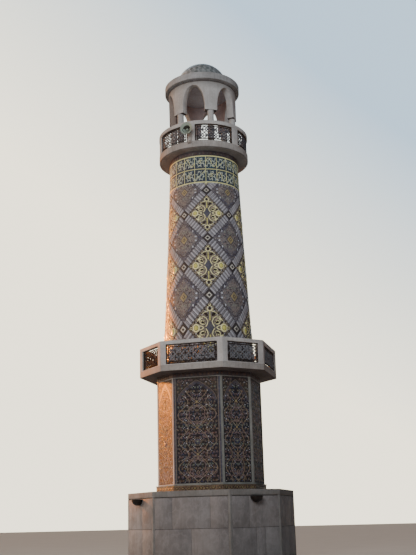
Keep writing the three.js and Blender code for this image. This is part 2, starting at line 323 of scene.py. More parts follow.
@dataclass(frozen=True)
class Glaze(Finish):
    """Glazed tile whose colour wanders between two shades from tile to tile."""

    light: Shade
    dark: Shade
    roughness: float = 0.34

    def build(self) -> None:
        """Makes the material."""
        graph = self.graph()
        pool = graph.noise(9.0, 4.0)
        share = (pool.between(0.3, 0.7) * 0.7 + graph.tint() * 0.35 + 0.15).between(0.0, 1.0)
        colour = graph.mix(share, self.dark, self.light)
        dust = graph.noise(3.0, 6.0).between(0.5, 0.8) * 0.18
        colour = graph.mix(dust, colour, (150, 140, 128))
        rough = self.roughness + graph.noise(26.0) * 0.2
        graph.close(colour, rough, graph.noise(38.0, 3.0), 0.0012, coat=0.4)


@dataclass(frozen=True)
class Chips(Finish):
    """A ground of small chipped mosaic in several dark colours with a few bright ones."""

    shades: tuple[Shade, Shade, Shade, Shade]
    spark: Shade
    per_metre: float = 34.0

    def build(self) -> None:
        """Makes the material."""
        graph = self.graph()
        cell = graph.cells(self.per_metre)
        red, green = (graph.node("ShaderNodeSeparateColor", None, {0: cell}, name)
                      for name in ("Red", "Green"))
        first, second, third, fourth = self.shades
        patch = graph.noise(2.4, 3.0)
        colour = graph.mix(red.between(0.45, 0.55), first, second)
        colour = graph.mix(patch.between(0.48, 0.56) * green.between(0.2, 0.5), colour, third)
        colour = graph.mix(green.between(0.74, 0.78), colour, fourth)
        colour = graph.mix((red * green).between(0.7, 0.72) * 0.8, colour, self.spark)
        joint = graph.cells(self.per_metre, "Distance").between(0.35, 0.75)
        graph.close(colour, red * 0.25 + 0.45, 1.0 - joint, 0.0012, coat=0.08)


@dataclass(frozen=True)
class Iron(Finish):
    """Dark painted cast metal with worn and rusty places."""

    paint: Shade
    rust: Shade
    metallic: float = 0.35
    wear: float = 0.35
    dullness: float = 0.42

    def build(self) -> None:
        """Makes the material."""
        graph = self.graph()
        worn = graph.noise(7.0, 6.0).between(0.52, 0.72) * self.wear
        colour = graph.mix(worn, self.paint, self.rust)
        colour = graph.shade(colour, 0.85 + graph.noise(30.0) * 0.3)
        rough = self.dullness + worn * 0.3
        graph.close(colour, rough, graph.noise(60.0, 3.0), 0.0008, metallic=self.metallic)


class Paint(Enum):
    """Every finish of the tower."""

    PLINTH = SlabStone("plinth_slabs", (148, 142, 141), (109, 103, 102), (88, 72, 58))
    PLINTH_EDGE = Render("plinth_edge_stone", (138, 134, 131), (114, 110, 107), (92, 87, 83))
    MORTAR = Render("mortar", (98, 92, 90), (82, 77, 74), (64, 60, 56))
    # The wall coat's last number is its eave: painted shadow darkens the lantern wall just under
    # the roof.
    COAT = Render("wall_coat", (196, 192, 190), (170, 165, 163), (134, 123, 115), 0.45, 18.07)
    # A warmer, lightened copy of the wall coat for the lantern's inner faces: painted light.
    INNER_COAT = Render("inner_coat", (190, 169, 167), (160, 142, 141), (126, 111, 108))
    # A darker copy of the wall coat for the reveals on the lantern's left side: painted shade.
    STAINED_COAT = Render("stained_coat", (158, 143, 136), (134, 120, 113), (104, 91, 84))
    # A paler, bluer copy of the roof coat for the ceiling inside the lantern: painted light.
    ROOF_SOFFIT = Render("roof_soffit", (208, 212, 222), (182, 184, 194), (148, 146, 148), 0.4)
    SLAB_COAT = Render("slab_coat", (172, 166, 162), (146, 139, 135), (108, 98, 90), 0.55)
    ROOF_COAT = Render("roof_coat", (172, 171, 172), (146, 144, 144), (108, 102, 98), 0.55)
    # Darker copies of the render for faces that look down or sit under the roof: painted shade.
    SOFFIT = Render("soffit_coat", (140, 139, 140), (112, 111, 112), (82, 79, 78))
    LOW_SOFFIT = Render("low_soffit", (100, 92, 90), (76, 69, 67), (56, 51, 50))
    FRAME = Render("strip_stone", (152, 151, 146), (126, 125, 120), (92, 87, 80))
    # A paler copy of the frame stone for the narrow face toward the sun: painted light.
    BLEACHED = Render("bleached_stone", (190, 188, 185), (164, 162, 159), (126, 118, 110))
    GROUT = Render("grout", (82, 76, 78), (64, 59, 61), (50, 46, 48))
    DARK_GROUND = Chips("dark_mosaic", (
        (31, 29, 34), (40, 35, 38), (31, 36, 53), (48, 40, 38)), (140, 132, 140))
    BROWN_GROUND = Chips("brown_mosaic", (
        (102, 96, 104), (117, 111, 112), (90, 88, 104), (80, 72, 76)), (160, 152, 150))
    MEDALLION_GROUND = Chips("medallion_mosaic", (
        (118, 111, 111), (136, 126, 121), (106, 103, 110), (88, 80, 79)), (168, 158, 146))
    GREY_GROUND = Chips("grey_mosaic", (
        (120, 110, 100), (140, 128, 114), (100, 96, 98), (80, 69, 60)), (160, 150, 128))
    SPANDREL = Chips("spandrel_mosaic", (
        (54, 48, 47), (62, 55, 50), (49, 45, 54), (72, 63, 54)), (104, 98, 90))
    NAVY_GROUND = Chips("navy_mosaic", (
        (50, 60, 78), (62, 68, 78), (48, 72, 84), (80, 76, 78)), (120, 136, 146))
    BASE_GROUND = Chips("base_mosaic", (
        (113, 92, 73), (126, 107, 83), (93, 77, 66), (80, 63, 55)), (170, 150, 110))
    NET_TILE = Glaze("net_tile", (188, 184, 190), (142, 138, 144))
    NODE_TILE = Glaze("node_tile", (70, 62, 62), (48, 42, 44))
    SLIM_TILE = Glaze("slim_tile", (160, 155, 160), (122, 117, 122))
    NODE_MARK = Glaze("node_mark", (214, 208, 196), (176, 170, 162))
    GOLD = Glaze("gold_glaze", (255, 248, 190), (236, 224, 160))
    BOSS = Glaze("boss_glaze", (238, 230, 132), (204, 194, 104))
    LIME = Glaze("lime_glaze", (240, 236, 174), (216, 210, 148))
    SAND = Glaze("sand_glaze", (146, 130, 110), (114, 99, 82))
    ROSE = Glaze("rose_glaze", (152, 128, 124), (114, 94, 94))
    SAGE = Glaze("sage_glaze", (142, 148, 132), (104, 112, 104))
    PALE_LEAF = Glaze("pale_leaf_glaze", (216, 220, 202), (174, 182, 166))
    OCHRE = Glaze("ochre_glaze", (172, 158, 112), (132, 112, 86))
    RUST = Glaze("rust_glaze", (146, 98, 72), (104, 68, 54))
    UMBER = Glaze("umber_glaze", (58, 44, 36), (40, 32, 28))
    WHITE = Glaze("white_glaze", (216, 216, 220), (180, 182, 196))
    BLUE = Glaze("blue_glaze", (74, 84, 128), (46, 56, 92))
    SLATE = Glaze("slate_glaze", (104, 102, 112), (78, 76, 86))
    FRIEZE_TILE = Glaze("frieze_glaze", (96, 79, 74), (68, 55, 53))
    BORDER = Glaze("border_glaze", (80, 79, 91), (60, 59, 71))
    TEAL = Glaze("teal_glaze", (70, 100, 100), (48, 74, 80))
    PLUM = Glaze("plum_glaze", (84, 75, 78), (60, 53, 56))
    DOME = Glaze("dome_glaze", (168, 170, 172), (100, 106, 104), 0.45)
    IRON = Iron("dark_casting", (50, 43, 40), (84, 62, 48), 0.0, 0.35, 0.9)
    # The lower grilles' iron in two copies: a paler one as painted sheen of sky light, a darker one
    # as painted shade for the sunny side.
    OPENWORK = Iron("openwork_iron", (124, 124, 130), (120, 110, 106), 0.15)
    SUNNY_OPENWORK = Iron("sunny_openwork_iron", (48, 47, 51), (58, 51, 48), 0.0, 0.35, 0.9)
    UPPER_OPENWORK = Iron("upper_openwork_iron", (90, 87, 93), (104, 90, 82), 0.15)
    LAMP_IRON = Iron("lamp_iron", (34, 28, 26), (64, 46, 36))
    HORN = Iron("horn_enamel", (152, 162, 150), (120, 112, 92), 0.1, 0.6)
    BRACKET = Iron("bracket_steel", (178, 172, 168), (130, 104, 84), 0.5, 0.4)
    # A dark copy of the horn's finish for its faces that look down: painted shade.
    THROAT = Iron("horn_throat", (58, 56, 52), (70, 60, 50), 0.2, 0.4)


# Mesh making

def keep(name: str, bm: BMesh, paints: Sequence[Paint], slot: str,
         replaces: str | None = None) -> None:
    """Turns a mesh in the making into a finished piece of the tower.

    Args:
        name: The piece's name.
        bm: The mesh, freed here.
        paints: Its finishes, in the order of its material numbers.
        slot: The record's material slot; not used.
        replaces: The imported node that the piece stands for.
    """
    mesh = taken(bm, name)
    for paint in paints:
        mesh.materials.append(paint.value.material())
    mesh.shade_smooth()
    mesh.set_sharp_from_angle(angle=SMOOTH_ANGLE)
    piece = bpy.data.objects.new(name, mesh)
    bpy.context.scene.collection.objects.link(piece)
    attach(piece, BODY)
    if replaces:
        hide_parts(replaces)
    LOG.info("%s: %d faces", name, len(mesh.polygons))


def taken(bm: BMesh, name: str = "part") -> bpy.types.Mesh:
    """Writes a mesh in the making to a named data block and frees it.

    Args:
        bm: The mesh in the making.
        name: The data block's name.

    Returns:
        The data block.
    """
    mesh = bpy.data.meshes.new(name)
    bm.to_mesh(mesh)
    bm.free()
    return mesh


def everything(bm: BMesh) -> list[object]:
    """Gives all vertices, edges and faces of a mesh."""
    return [*bm.verts, *bm.edges, *bm.faces]


def fresh(geometry: Iterable[object], kind: type) -> list:
    """Picks the vertices or the faces out of what an operator made."""
    return [item for item in geometry if isinstance(item, kind)]


def corners_of(faces: Iterable[BMFace]) -> list[BMVert]:
    """Gives the vertices that a number of faces have, each once."""
    return list({vert for face in faces for vert in face.verts})


def facing_out(bm: BMesh) -> BMesh:
    """Turns a mesh's faces outward."""
    bmesh.ops.recalc_face_normals(bm, faces=bm.faces)
    return bm


def closed(bm: BMesh) -> BMesh:
    """Merges a mesh's doubles and turns its faces outward."""
    bmesh.ops.remove_doubles(bm, verts=bm.verts, dist=DOUBLES)
    return facing_out(bm)


def cut_off(bm: BMesh, place: Sequence[float], outward: Sequence[float]) -> None:
    """Cuts off what lies outward of a plane and closes the cut.

    Args:
        bm: The mesh.
        place: A point of the plane.
        outward: The side that goes.
    """
    bmesh.ops.bisect_plane(
        bm, geom=everything(bm), dist=1e-6, plane_co=place, plane_no=outward, clear_outer=True)
    bmesh.ops.holes_fill(bm, edges=[edge for edge in bm.edges if edge.is_boundary])


def bevel(bm: BMesh, width: float, segments: int = 2, above: float = 25.0) -> None:
    """Rounds a mesh's sharp edges.

    Args:
        bm: The mesh.
        width: The width of the rounding.
        segments: Its number of steps.
        above: Edges with a larger angle than this, in degrees, are rounded.
    """
    edges = [edge for edge in bm.edges
             if edge.is_manifold and edge.calc_face_angle() > radians(above)]
    bmesh.ops.bevel(
        bm, geom=edges, offset=width, segments=segments, profile=0.5,
        affect="EDGES", material=-1, clamp_overlap=True)


def softened(node: str, width: float, segments: int = 2) -> BMesh:
    """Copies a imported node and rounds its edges.

    Args:
        node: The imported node.
        width: The width of the rounding.
        segments: Its number of steps.

    Returns:
        The new mesh.
    """
    bm = bmesh.new()
    bm.from_mesh(frame["nodes"][node].data)
    bmesh.ops.remove_doubles(bm, verts=bm.verts, dist=DOUBLES)
    bmesh.ops.dissolve_limit(bm, angle_limit=radians(0.5), verts=bm.verts, edges=bm.edges)
    bevel(bm, width, segments)
    return bm


def with_shaded_underside(bm: BMesh) -> BMesh:
    """Gives the faces that look down the mesh's second finish, a darker coat that is painted shade.

    Args:
        bm: The mesh.

    Returns:
        The same mesh.
    """
    for face in facing_out(bm).faces:
        if face.normal.z < -0.7:
            face.material_index = 1
    return bm


def spun(profile: Sequence[Point], steps: int = ROUND_STEPS, angle: float = tau,
         start: float = 0.0) -> BMesh:
    """Turns a profile about the tower's axis.

    Args:
        profile: Radius and height of each point; a closed loop if both ends meet.
        steps: Steps round the axis.
        angle: How far it is turned.
        start: The azimuth where it starts.

    Returns:
        The turned surface, closed if the profile is and the turn is full.
    """
    bm = bmesh.new()
    turn = Matrix.Rotation(start, 3, "Z")
    verts = [bm.verts.new(turn @ Vector((0.0, -radius, height))) for radius, height in profile]
    edges = [bm.edges.new(pair) for pair in zip(verts, verts[1:])]
    bmesh.ops.spin(
        bm, geom=verts + edges, cent=(0, 0, 0), axis=(0, 0, 1), angle=angle, steps=steps,
        use_merge=math.isclose(angle, tau), use_duplicate=False)
    return closed(bm)


def ringed(outline: Sequence[Point]) -> BMesh:
    """Turns an open outline into a closed ring round the tower."""
    return spun([*outline, outline[0]])


def drip(edge: float, height: float) -> list[Point]:
    """Gives the drip groove in a slab's underside, outward to its edge."""
    return [(edge - 0.03, height), (edge - 0.025, height + 0.008),
            (edge - 0.005, height + 0.008), (edge, height)]


def merged(parts: Iterable[BMesh]) -> BMesh:
    """Puts several meshes into one, and frees them.

    Args:
        parts: The meshes.

    Returns:
        The one mesh.
    """
    whole = bmesh.new()
    whole.faces.layers.float.new("tint")
    for part in parts:
        mesh = taken(part)
        whole.from_mesh(mesh)
        bpy.data.meshes.remove(mesh)
    return whole


def box(size: Sequence[float], centre: Sequence[float], rounding: float = 0.0) -> BMesh:
    """Makes a block.

    Args:
        size: Its size along x, y and z.
        centre: Its centre.
        rounding: The width of its edges' rounding.

    Returns:
        The block.
    """
    bm = bmesh.new()
    matrix = Matrix.Translation(Vector(centre)) @ Matrix.Diagonal((*size, 1.0))
    bmesh.ops.create_cube(bm, size=1.0, matrix=matrix)
    if rounding:
        bevel(bm, rounding)
    return bm


# Walls that flat work is laid on

class Wall(ABC):
    """A wall that takes flat ornament."""

    @abstractmethod
    def place(self, point: Vector) -> Vector:
        """Gives a drawn point's place in the tower."""

    def lay(self, bm: BMesh) -> BMesh:
        """Moves a flat mesh onto the wall.

        Args:
            bm: The flat mesh.

        Returns:
            The same mesh.
        """
        for vert in bm.verts:
            vert.co = self.place(vert.co)
        return facing_out(bm)


@dataclass(frozen=True)
class FlatWall(Wall):
    """A plane face at a distance from the axis."""

    azimuth: float
    distance: float
    foot: float

    def place(self, point: Vector) -> Vector:
        """Gives a drawn point's place in the tower."""
        local = Vector((point.x, point.y - self.distance, point.z + self.foot))
        return Matrix.Rotation(self.azimuth, 3, "Z") @ local


@dataclass(frozen=True)
class RoundWall(Wall):
    """A round face; x runs along an arc of the reference radius."""

    radius_at: Callable[[float], float]
    reference: float
    foot: float
    azimuth: float = 0.0

    def place(self, point: Vector) -> Vector:
        """Gives a drawn point's place in the tower."""
        height, azimuth = point.z + self.foot, self.azimuth + point.x / self.reference
        return polar(azimuth, self.radius_at(height) - point.y, height)


@dataclass(frozen=True)
class NetWall(Wall):
    """The round shaft in the units of its lozenge net, which grow toward the foot."""

    radius_at: Callable[[float], float]
    unit_angle: float = radians(36.0)
    first_azimuth: float = radians(18.0)
    first_node: float = 13.482
    first_step: float = 0.8815
    growth: float = 0.0375

    def place(self, point: Vector) -> Vector:
        """Gives a drawn point's place in the tower."""
        height, azimuth = self.height_of(point.z), self.first_azimuth + point.x * self.unit_angle
        return polar(azimuth, self.radius_at(height) - point.y, height)

    def height_of(self, row: float) -> float:
        """Gives the height of a row of the net, counted upward from the first crossing."""
        return self.first_node + self.first_step * row + self.growth * row * abs(row)


# Flat ornament

@dataclass(frozen=True)
class Strip:
    """A raised strip of tile or a bar along a line."""

    points: tuple[Point, ...]
    width: float
    tip: float
    paint: Paint
    closed: bool


@dataclass(frozen=True)
class Tile:
    """A flat tile with an outline, a rise over the ground and a chamfer."""

    points: tuple[Point, ...]
    rise: float
    paint: Paint
    chamfer: float
    sink: float


class Section(Enum):
    """Cross-sections of strips, for a width of 1."""

    TILE = ((-0.5, -0.12), (0.5, -0.12), (0.36, 0.22), (-0.36, 0.22))
    BAR = ((-0.5, 0.0), (-0.25, -0.43), (0.25, -0.43), (0.5, 0.0), (0.25, 0.43), (-0.25, 0.43))


Move = Callable[[Point], Point]


def shifted(x: float, z: float, turn: float = 0.0) -> Move:
    """Gives the move of drawn points that turns them and then shifts them."""
    level, rise = cos(turn), sin(turn)
    return lambda spot: (x + spot[0] * level - spot[1] * rise, z + spot[0] * rise + spot[1] * level)


class Pattern:
    """A flat drawing of strips and tiles."""

    def __init__(self) -> None:
        """Starts an empty drawing."""
        self.strips: list[Strip] = []
        self.tiles: list[Tile] = []

    def strip(self, points: Iterable[Point], width: float, paint: Paint, tip: float | None = None,
              closed: bool = False) -> None:
        """Draws a strip that may taper to its tip."""
        tip = width if tip is None else tip
        self.strips.append(Strip(tuple(points), width, tip, paint, closed))

    def tile(self, outline: Iterable[Point], paint: Paint, rise: float = 0.006,
             chamfer: float = 0.003, sink: float = 0.002) -> None:
        """Draws a tile."""
        self.tiles.append(Tile(tuple(outline), rise, paint, chamfer, sink))

    def rectangle(self, left: float, right: float, low: float, high: float, paint: Paint,
                  rise: float = 0.006, chamfer: float = 0.003, sink: float = 0.002) -> None:
        """Draws a tile with four square corners."""
        corners = ((left, low), (right, low), (right, high), (left, high))
        self.tile(corners, paint, rise, chamfer, sink)

    def lozenge(self, x: float, z: float, half_width: float, half_height: float, paint: Paint,
                rise: float = 0.006, chamfer: float = 0.003) -> None:
        """Draws a lozenge-shaped tile."""
        self.tile(lozenge(x, z, half_width, half_height), paint, rise, chamfer)

    def disc(self, x: float, z: float, radius: float, paint: Paint, rise: float = 0.006,
             sides: int = 10) -> None:
        """Draws a round tile."""
        self.tile(circle(x, z, radius, sides), paint, rise, radius * 0.2)

    def leaf(self, x: float, z: float, length: float, width: float, turn: float, paint: Paint,
             rise: float = 0.006) -> None:
        """Draws a pointed leaf.

        Args:
            x, z: Its foot.
            length: Its length.
            width: Its greatest width.
            turn: Its direction, in radians from the right.
            paint: Its finish.
            rise: Its rise over the ground.
        """
        steps = 4
        side = [(length * step / steps, width / 2 * sin(pi * (step / steps) ** 0.8))
                for step in range(1, steps)]
        outline = [(0.0, 0.0), *[(a, -b) for a, b in side], (length, 0.0), *reversed(side)]
        self.tile(map(shifted(x, z, turn), outline), paint, rise, width * 0.14)

    def spiral(self, x: float, z: float, radius: float, turns: float, start: float, hand: int,
               width: float, paint: Paint) -> None:
        """Draws a scroll that winds inward to a small bud.

        Args:
            x, z: Its centre.
            radius: Its outer radius.
            turns: How often it winds.
            start: The angle of its outer end, in radians.
            hand: 1 to wind counter-clockwise, -1 for clockwise.
            width: Its width at the outer end.
            paint: Its finish.
        """
        points = []
        for share in spread(0.0, 1.0, max(8, round(turns * 12))):
            reach = radius * (1 - 0.8 * share ** 0.85)
            angle = start + hand * turns * tau * share
            points.append((x + reach * cos(angle), z + reach * sin(angle)))
        self.strip(points, width, paint, tip=width * 0.55)
        self.disc(*points[-1], width * 0.75, paint, sides=7)

    def add(self, other: "Pattern", move: Move = lambda point: point) -> None:
        """Draws another drawing, or a copy of this one, into this one, moved."""
        for mine, theirs in ((self.strips, other.strips), (self.tiles, other.tiles)):
            mine += [replace(item, points=tuple(map(move, item.points))) for item in theirs]

    def mirror(self) -> "Pattern":
        """Adds the drawing's own image across its middle line, and gives it back."""
        self.add(self, lambda point: (-point[0], point[1]))
        return self

    def fourfold(self) -> None:
        """Adds the drawing's images across the middle line and the middle height."""
        self.mirror().add(self, lambda point: (point[0], -point[1]))

    def bent(self) -> "Pattern":
        """Breaks long straight stretches of strips so that they bend round a curved wall.

        Returns:
            The refined drawing.
        """
        refined = Pattern()
        refined.tiles = self.tiles
        for strip in self.strips:
            ring = (*strip.points, strip.points[0]) if strip.closed else strip.points
            points = [ring[0]]
            for start, end in zip(ring, ring[1:]):
                cuts = max(1, math.ceil(math.dist(start, end) / LONGEST_STRETCH))
                stretch = zip(spread(start[0], end[0], cuts), spread(start[1], end[1], cuts))
                points += list(stretch)[1:]
            if strip.closed:
                points.pop()
            refined.strips.append(replace(strip, points=tuple(points)))
        return refined

    def mesh(self, section: Section = Section.TILE) -> tuple[bpy.types.Mesh, list[Paint]]:
        """Makes the drawing's flat mesh.

        Args:
            section: The cross-section of its strips.

        Returns:
            The mesh and its finishes, in the order of its material numbers.
        """
        paints = sorted({item.paint for item in (*self.strips, *self.tiles)}, key=lambda p: p.name)
        bm = bmesh.new()
        tint = bm.faces.layers.float.new("tint")
        if self.strips:
            strips = self._strip_mesh(section, paints)
            bm.from_mesh(strips)
            bpy.data.meshes.remove(strips)
        self._add_tiles(bm, paints, tint)
        return taken(bm, "pattern"), paints

    def _strip_mesh(self, section: Section, paints: list[Paint]) -> bpy.types.Mesh:
        """Sweeps the strips' cross-section along their lines.

        Args:
            section: The cross-section.
            paints: The drawing's finishes.

        Returns:
            The swept mesh.
        """
        profile = self._curve("section")
        self._draw_line(profile.data, section.value, [1.0] * len(section.value)).use_cyclic_u = True
        holder = self._curve("strips")
        curve = holder.data
        curve.bevel_mode = "OBJECT"
        curve.bevel_object = profile
        curve.use_fill_caps = True
        for paint in paints:
            curve.materials.append(paint.value.material())
        for strip in self.strips:
            sizes = spread(strip.width, strip.tip, len(strip.points) - 1)
            spline = self._draw_line(curve, strip.points, sizes)
            spline.use_cyclic_u = strip.closed
            spline.material_index = paints.index(strip.paint)
        shown = holder.evaluated_get(bpy.context.evaluated_depsgraph_get())
        mesh = bpy.data.meshes.new_from_object(shown)
        mesh.transform(Matrix.Rotation(pi / 2, 4, "X"))
        for item in (holder, profile):
            data = item.data
            bpy.data.objects.remove(item)
            bpy.data.curves.remove(data)
        return mesh

    def _curve(self, name: str) -> bpy.types.Object:
        """Makes an empty flat curve for a moment's use.

        Args:
            name: Its name.

        Returns:
            The object that holds it.
        """
        curve = bpy.data.curves.new(name, "CURVE")
        curve.dimensions = "2D"
        curve.fill_mode = "NONE"
        holder = bpy.data.objects.new(name, curve)
        bpy.context.scene.collection.objects.link(holder)
        return holder

    def _draw_line(self, curve: bpy.types.Curve, points: Sequence[Point],
                   sizes: Sequence[float]) -> bpy.types.Spline:
        """Adds a line to a curve.

        Args:
            curve: The curve.
            points: The line's points.
            sizes: The size of the cross-section at each of them.

        Returns:
            The line.
        """
        spline = curve.splines.new("POLY")
        spline.points.add(len(points) - 1)
        for knot, (x, z), size in zip(spline.points, points, sizes):
            knot.co = (x, z, 0.0, 1.0)
            knot.radius = size
        return spline

    def _add_tiles(self, bm: BMesh, paints: list[Paint], tint: bmesh.types.BMLayerItem) -> None:
        """Adds the tiles, those of one rise and chamfer together.

        Args:
            bm: The mesh that takes them.
            paints: The drawing's finishes.
            tint: The layer of random numbers.
        """
        dice = random.Random(TINT_SEED)
        groups: dict[tuple[float, float, float], list[BMFace]] = {}
        for tile in self.tiles:
            face = bm.faces.new([bm.verts.new((x, tile.sink, z)) for x, z in tile.points])
            face.material_index = paints.index(tile.paint)
            face[tint] = dice.uniform(-1.0, 1.0)
            face.normal_update()
            if face.normal.y > 0:
                face.normal_flip()
            groups.setdefault((tile.rise, tile.sink, tile.chamfer), []).append(face)
        for (rise, sink, chamfer), faces in groups.items():
            made = bmesh.ops.extrude_face_region(bm, geom=faces, use_keep_orig=True)["geom"]
            bmesh.ops.translate(bm, verts=fresh(made, BMVert), vec=(0.0, -rise - sink, 0.0))
            if chamfer:
                tops = fresh(made, BMFace)
                bmesh.ops.inset_individual(
                    bm, faces=tops, thickness=chamfer, depth=0.0, use_even_offset=True)
                bmesh.ops.translate(bm, verts=corners_of(tops), vec=(0.0, -chamfer * 0.6, 0.0))

    def laid(self, wall: Wall, section: Section = Section.TILE) -> tuple[BMesh, list[Paint]]:
        """Makes the drawing and lays it on a wall.

        Args:
            wall: The wall.
            section: The cross-section of the strips.

        Returns:
            The mesh and its finishes.
        """
        mesh, paints = self.mesh(section)
        bm = bmesh.new()
        bm.from_mesh(mesh)
        bpy.data.meshes.remove(mesh)
        return wall.lay(bm), paints


def circle(x: float, z: float, radius: float, sides: int) -> list[Point]:
    """Gives points on a circle, counter-clockwise."""
    return [(x + radius * cos(angle), z + radius * sin(angle))
            for angle in spread(0.0, tau, sides)[:-1]]


def cusped(x: float, z: float, radius: float, lobes: int, depth: float, tall: float,
           steps: int = 8) -> list[Point]:
    """Gives a loop of round lobes that meet in points.

    Args:
        x, z: Its centre.
        radius: Its mean radius.
        lobes: Number of lobes.
        depth: Depth of the lobes over the radius.
        tall: Height over width.
        steps: Steps a lobe.

    Returns:
        The points.
    """
    points = []
    for angle in spread(0.0, tau, lobes * steps)[:-1]:
        reach = radius * (1 - depth + depth * 2 * abs(sin(lobes * angle / 2)))
        points.append((x + reach * sin(angle), z + reach * tall * cos(angle)))
    return points


def lozenge(x: float, z: float, half_width: float, half_height: float) -> tuple[Point, ...]:
    """Gives a lozenge's corners."""
    return (x + half_width, z), (x, z + half_height), (x - half_width, z), (x, z - half_height)


def quarter_arc(radius: float) -> list[Point]:
    """Gives points on a quarter of a circle about the origin."""
    return [(radius * cos(angle), radius * sin(angle)) for angle in spread(0.0, pi / 2, 6)]


@dataclass(frozen=True)
class Octagon:
    """An octagon with wide and narrow faces in turn, given by the distance of a wide face."""

    reach: float

    @property
    def half(self) -> float:
        """Half the width of a wide face."""
        return self.reach * math.tan(WIDE_HALF_ANGLE)

    def width(self, index: int) -> float:
        """Gives a face's width."""
        return sqrt(2) * (self.reach - self.half) if index % 2 else 2 * self.half

    def distance(self, index: int) -> float:
        """Gives a face's distance from the axis."""
        return (self.reach + self.half) / sqrt(2) if index % 2 else self.reach

    def wall(self, index: int, foot: float, back: float = 0.0) -> FlatWall:
        """Gives a face as a wall, set back from the octagon's plane."""
        return FlatWall(index * pi / 4, self.distance(index) - back, foot)

    def covered(self, foot: float, draw: Callable[[float], Pattern],
                faces: Iterable[int] = FACES) -> tuple[BMesh, list[Paint]]:
        """Lays a drawing on several faces, as one mesh.

        Args:
            foot: Height of the drawing's foot.
            draw: Makes the drawing for a face's width.
            faces: The faces.

        Returns:
            The mesh and its finishes.
        """
        laid = [draw(self.width(index)).laid(self.wall(index, foot)) for index in faces]
        return merged(bm for bm, _ in laid), laid[0][1]


def node_octagon(node: str) -> Octagon:
    """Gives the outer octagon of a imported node."""
    return Octagon(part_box(node)[1].x)


# The tower's sub-assemblies

@dataclass
class Plinth:
    """The stone plinth with its slabs, coping and four bowl lights."""

    strip: float = 0.07
    recess: float = 0.02
    joint: float = 0.007
    bed: float = 0.014
    slab: float = 0.018
    reveal: float = 0.025
    lip: float = 0.04
    bowl: float = 0.212
    shell: float = 0.01
    standoff: float = 0.1
    courses: tuple[float, ...] = (0.0, 0.22, 1.24)
    wide_joints: tuple[tuple[float, ...], ...] = ((-0.65, 0.65), (0.0,), (-0.65, 0.65))
    narrow_joints: tuple[tuple[float, ...], ...] = ((-0.25,), (0.0, 0.35), (-0.25,))
    single_joints: tuple[tuple[float, ...], ...] = ((0.18,), (0.18,), (0.18,))

    def build(self) -> None:
        """Makes every piece of the plinth."""
        edge = [Paint.PLINTH_EDGE]
        keep("plinth_core", softened("plinth_wall", 0.006), edge, "plinth_stone", "plinth_wall")
        keep("plinth_cap", softened("plinth_coping", 0.012, 3), edge, "plinth_stone",
             "plinth_coping")
        octagon = node_octagon("plinth_wall")
        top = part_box("plinth_wall")[1].z
        keep("plinth_corner_stones", self.corner_stones(octagon, top), edge, "plinth_stone")
        walls = [octagon.wall(index, 0.0, self.recess) for index in FACES]
        for index, name in enumerate(FACE_NAMES):
            pattern = self.slabs(octagon.width(index) - 2 * self.strip, top, index)
            keep(f"plinth_slabs_{name}", *pattern.laid(walls[index]), "plinth_stone")
        for index in FACES[1::2]:
            self.light(FACE_NAMES[index], walls[index])

    def corner_stones(self, octagon: Octagon, top: float) -> BMesh:
        """Makes the strips beside the corners run on over the reveal, up to the coping.

        Args:
            octagon: The plinth's outline.
            top: Height of its wall.

        Returns:
            The sixteen short strips.
        """
        stones = []
        for index in FACES:
            for side in (-1, 1):
                across = side * (octagon.width(index) - self.strip) / 2
                centre = (across, self.lip / 2 + 0.001, top + self.reveal / 2)
                stone = box((self.strip, self.lip, self.reveal), centre)
                stones.append(octagon.wall(index, 0.0).lay(stone))
        return merged(stones)

    def slabs(self, width: float, top: float, index: int) -> Pattern:
        """Draws one face's courses of slabs, their joints broken from course to course.

        Args:
            width: Width between the corner strips.
            top: Height of the wall.
            index: The face.

        Returns:
            The drawing.
        """
        pattern = Pattern()
        pattern.rectangle(-width / 2, width / 2, 0.002, top, Paint.MORTAR, 0.008, 0.0)
        joints = (self.wide_joints, self.narrow_joints, self.wide_joints, self.single_joints)
        levels = [*self.courses, top]
        side, bed = self.joint / 2, self.bed / 2
        for low, high, places in zip(levels, levels[1:], joints[index % 4]):
            cuts = [-width / 2, *places, width / 2]
            for left, right in zip(cuts, cuts[1:]):
                pattern.rectangle(
                    left + side, right - side, low + bed, high - bed, Paint.PLINTH, self.slab)
        return pattern

    def light(self, name: str, wall: FlatWall) -> None:
        """Makes one bowl-shaped wall light: shell, rim, lamp and fixing plate.

        Args:
            name: The face's name.
            wall: The face.
        """
        low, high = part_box(f"uplight_{name}")
        top, radius = high.z, self.bowl
        outer = [(radius * sin(angle), top - (top - low.z) * cos(angle))
                 for angle in spread(0.0, pi / 2, 12)]
        inner = [(max(r - self.shell, 0.0), z + self.shell * (1 - r / radius))
                 for r, z in reversed(outer)]
        rim = [(radius + 0.004, top - 0.012), (radius + 0.004, top), (radius - 0.012, top)]
        bowl = spun([*outer, *rim, *inner], 48)
        bmesh.ops.translate(bowl, verts=bowl.verts, vec=(0.0, -self.standoff, 0.0))
        cut_off(bowl, (0, -0.003, 0), (0, 1, 0))
        plate = box((0.2, 0.014, 0.1), (0, -0.028, top - 0.065), 0.003)
        lamp = box((0.16, 0.07, 0.05), (0, -self.standoff, top - 0.11), 0.012)
        keep(f"wall_light_{name}", wall.lay(merged([closed(bowl), plate, lamp])),
             [Paint.LAMP_IRON], "dark_iron", f"uplight_{name}")


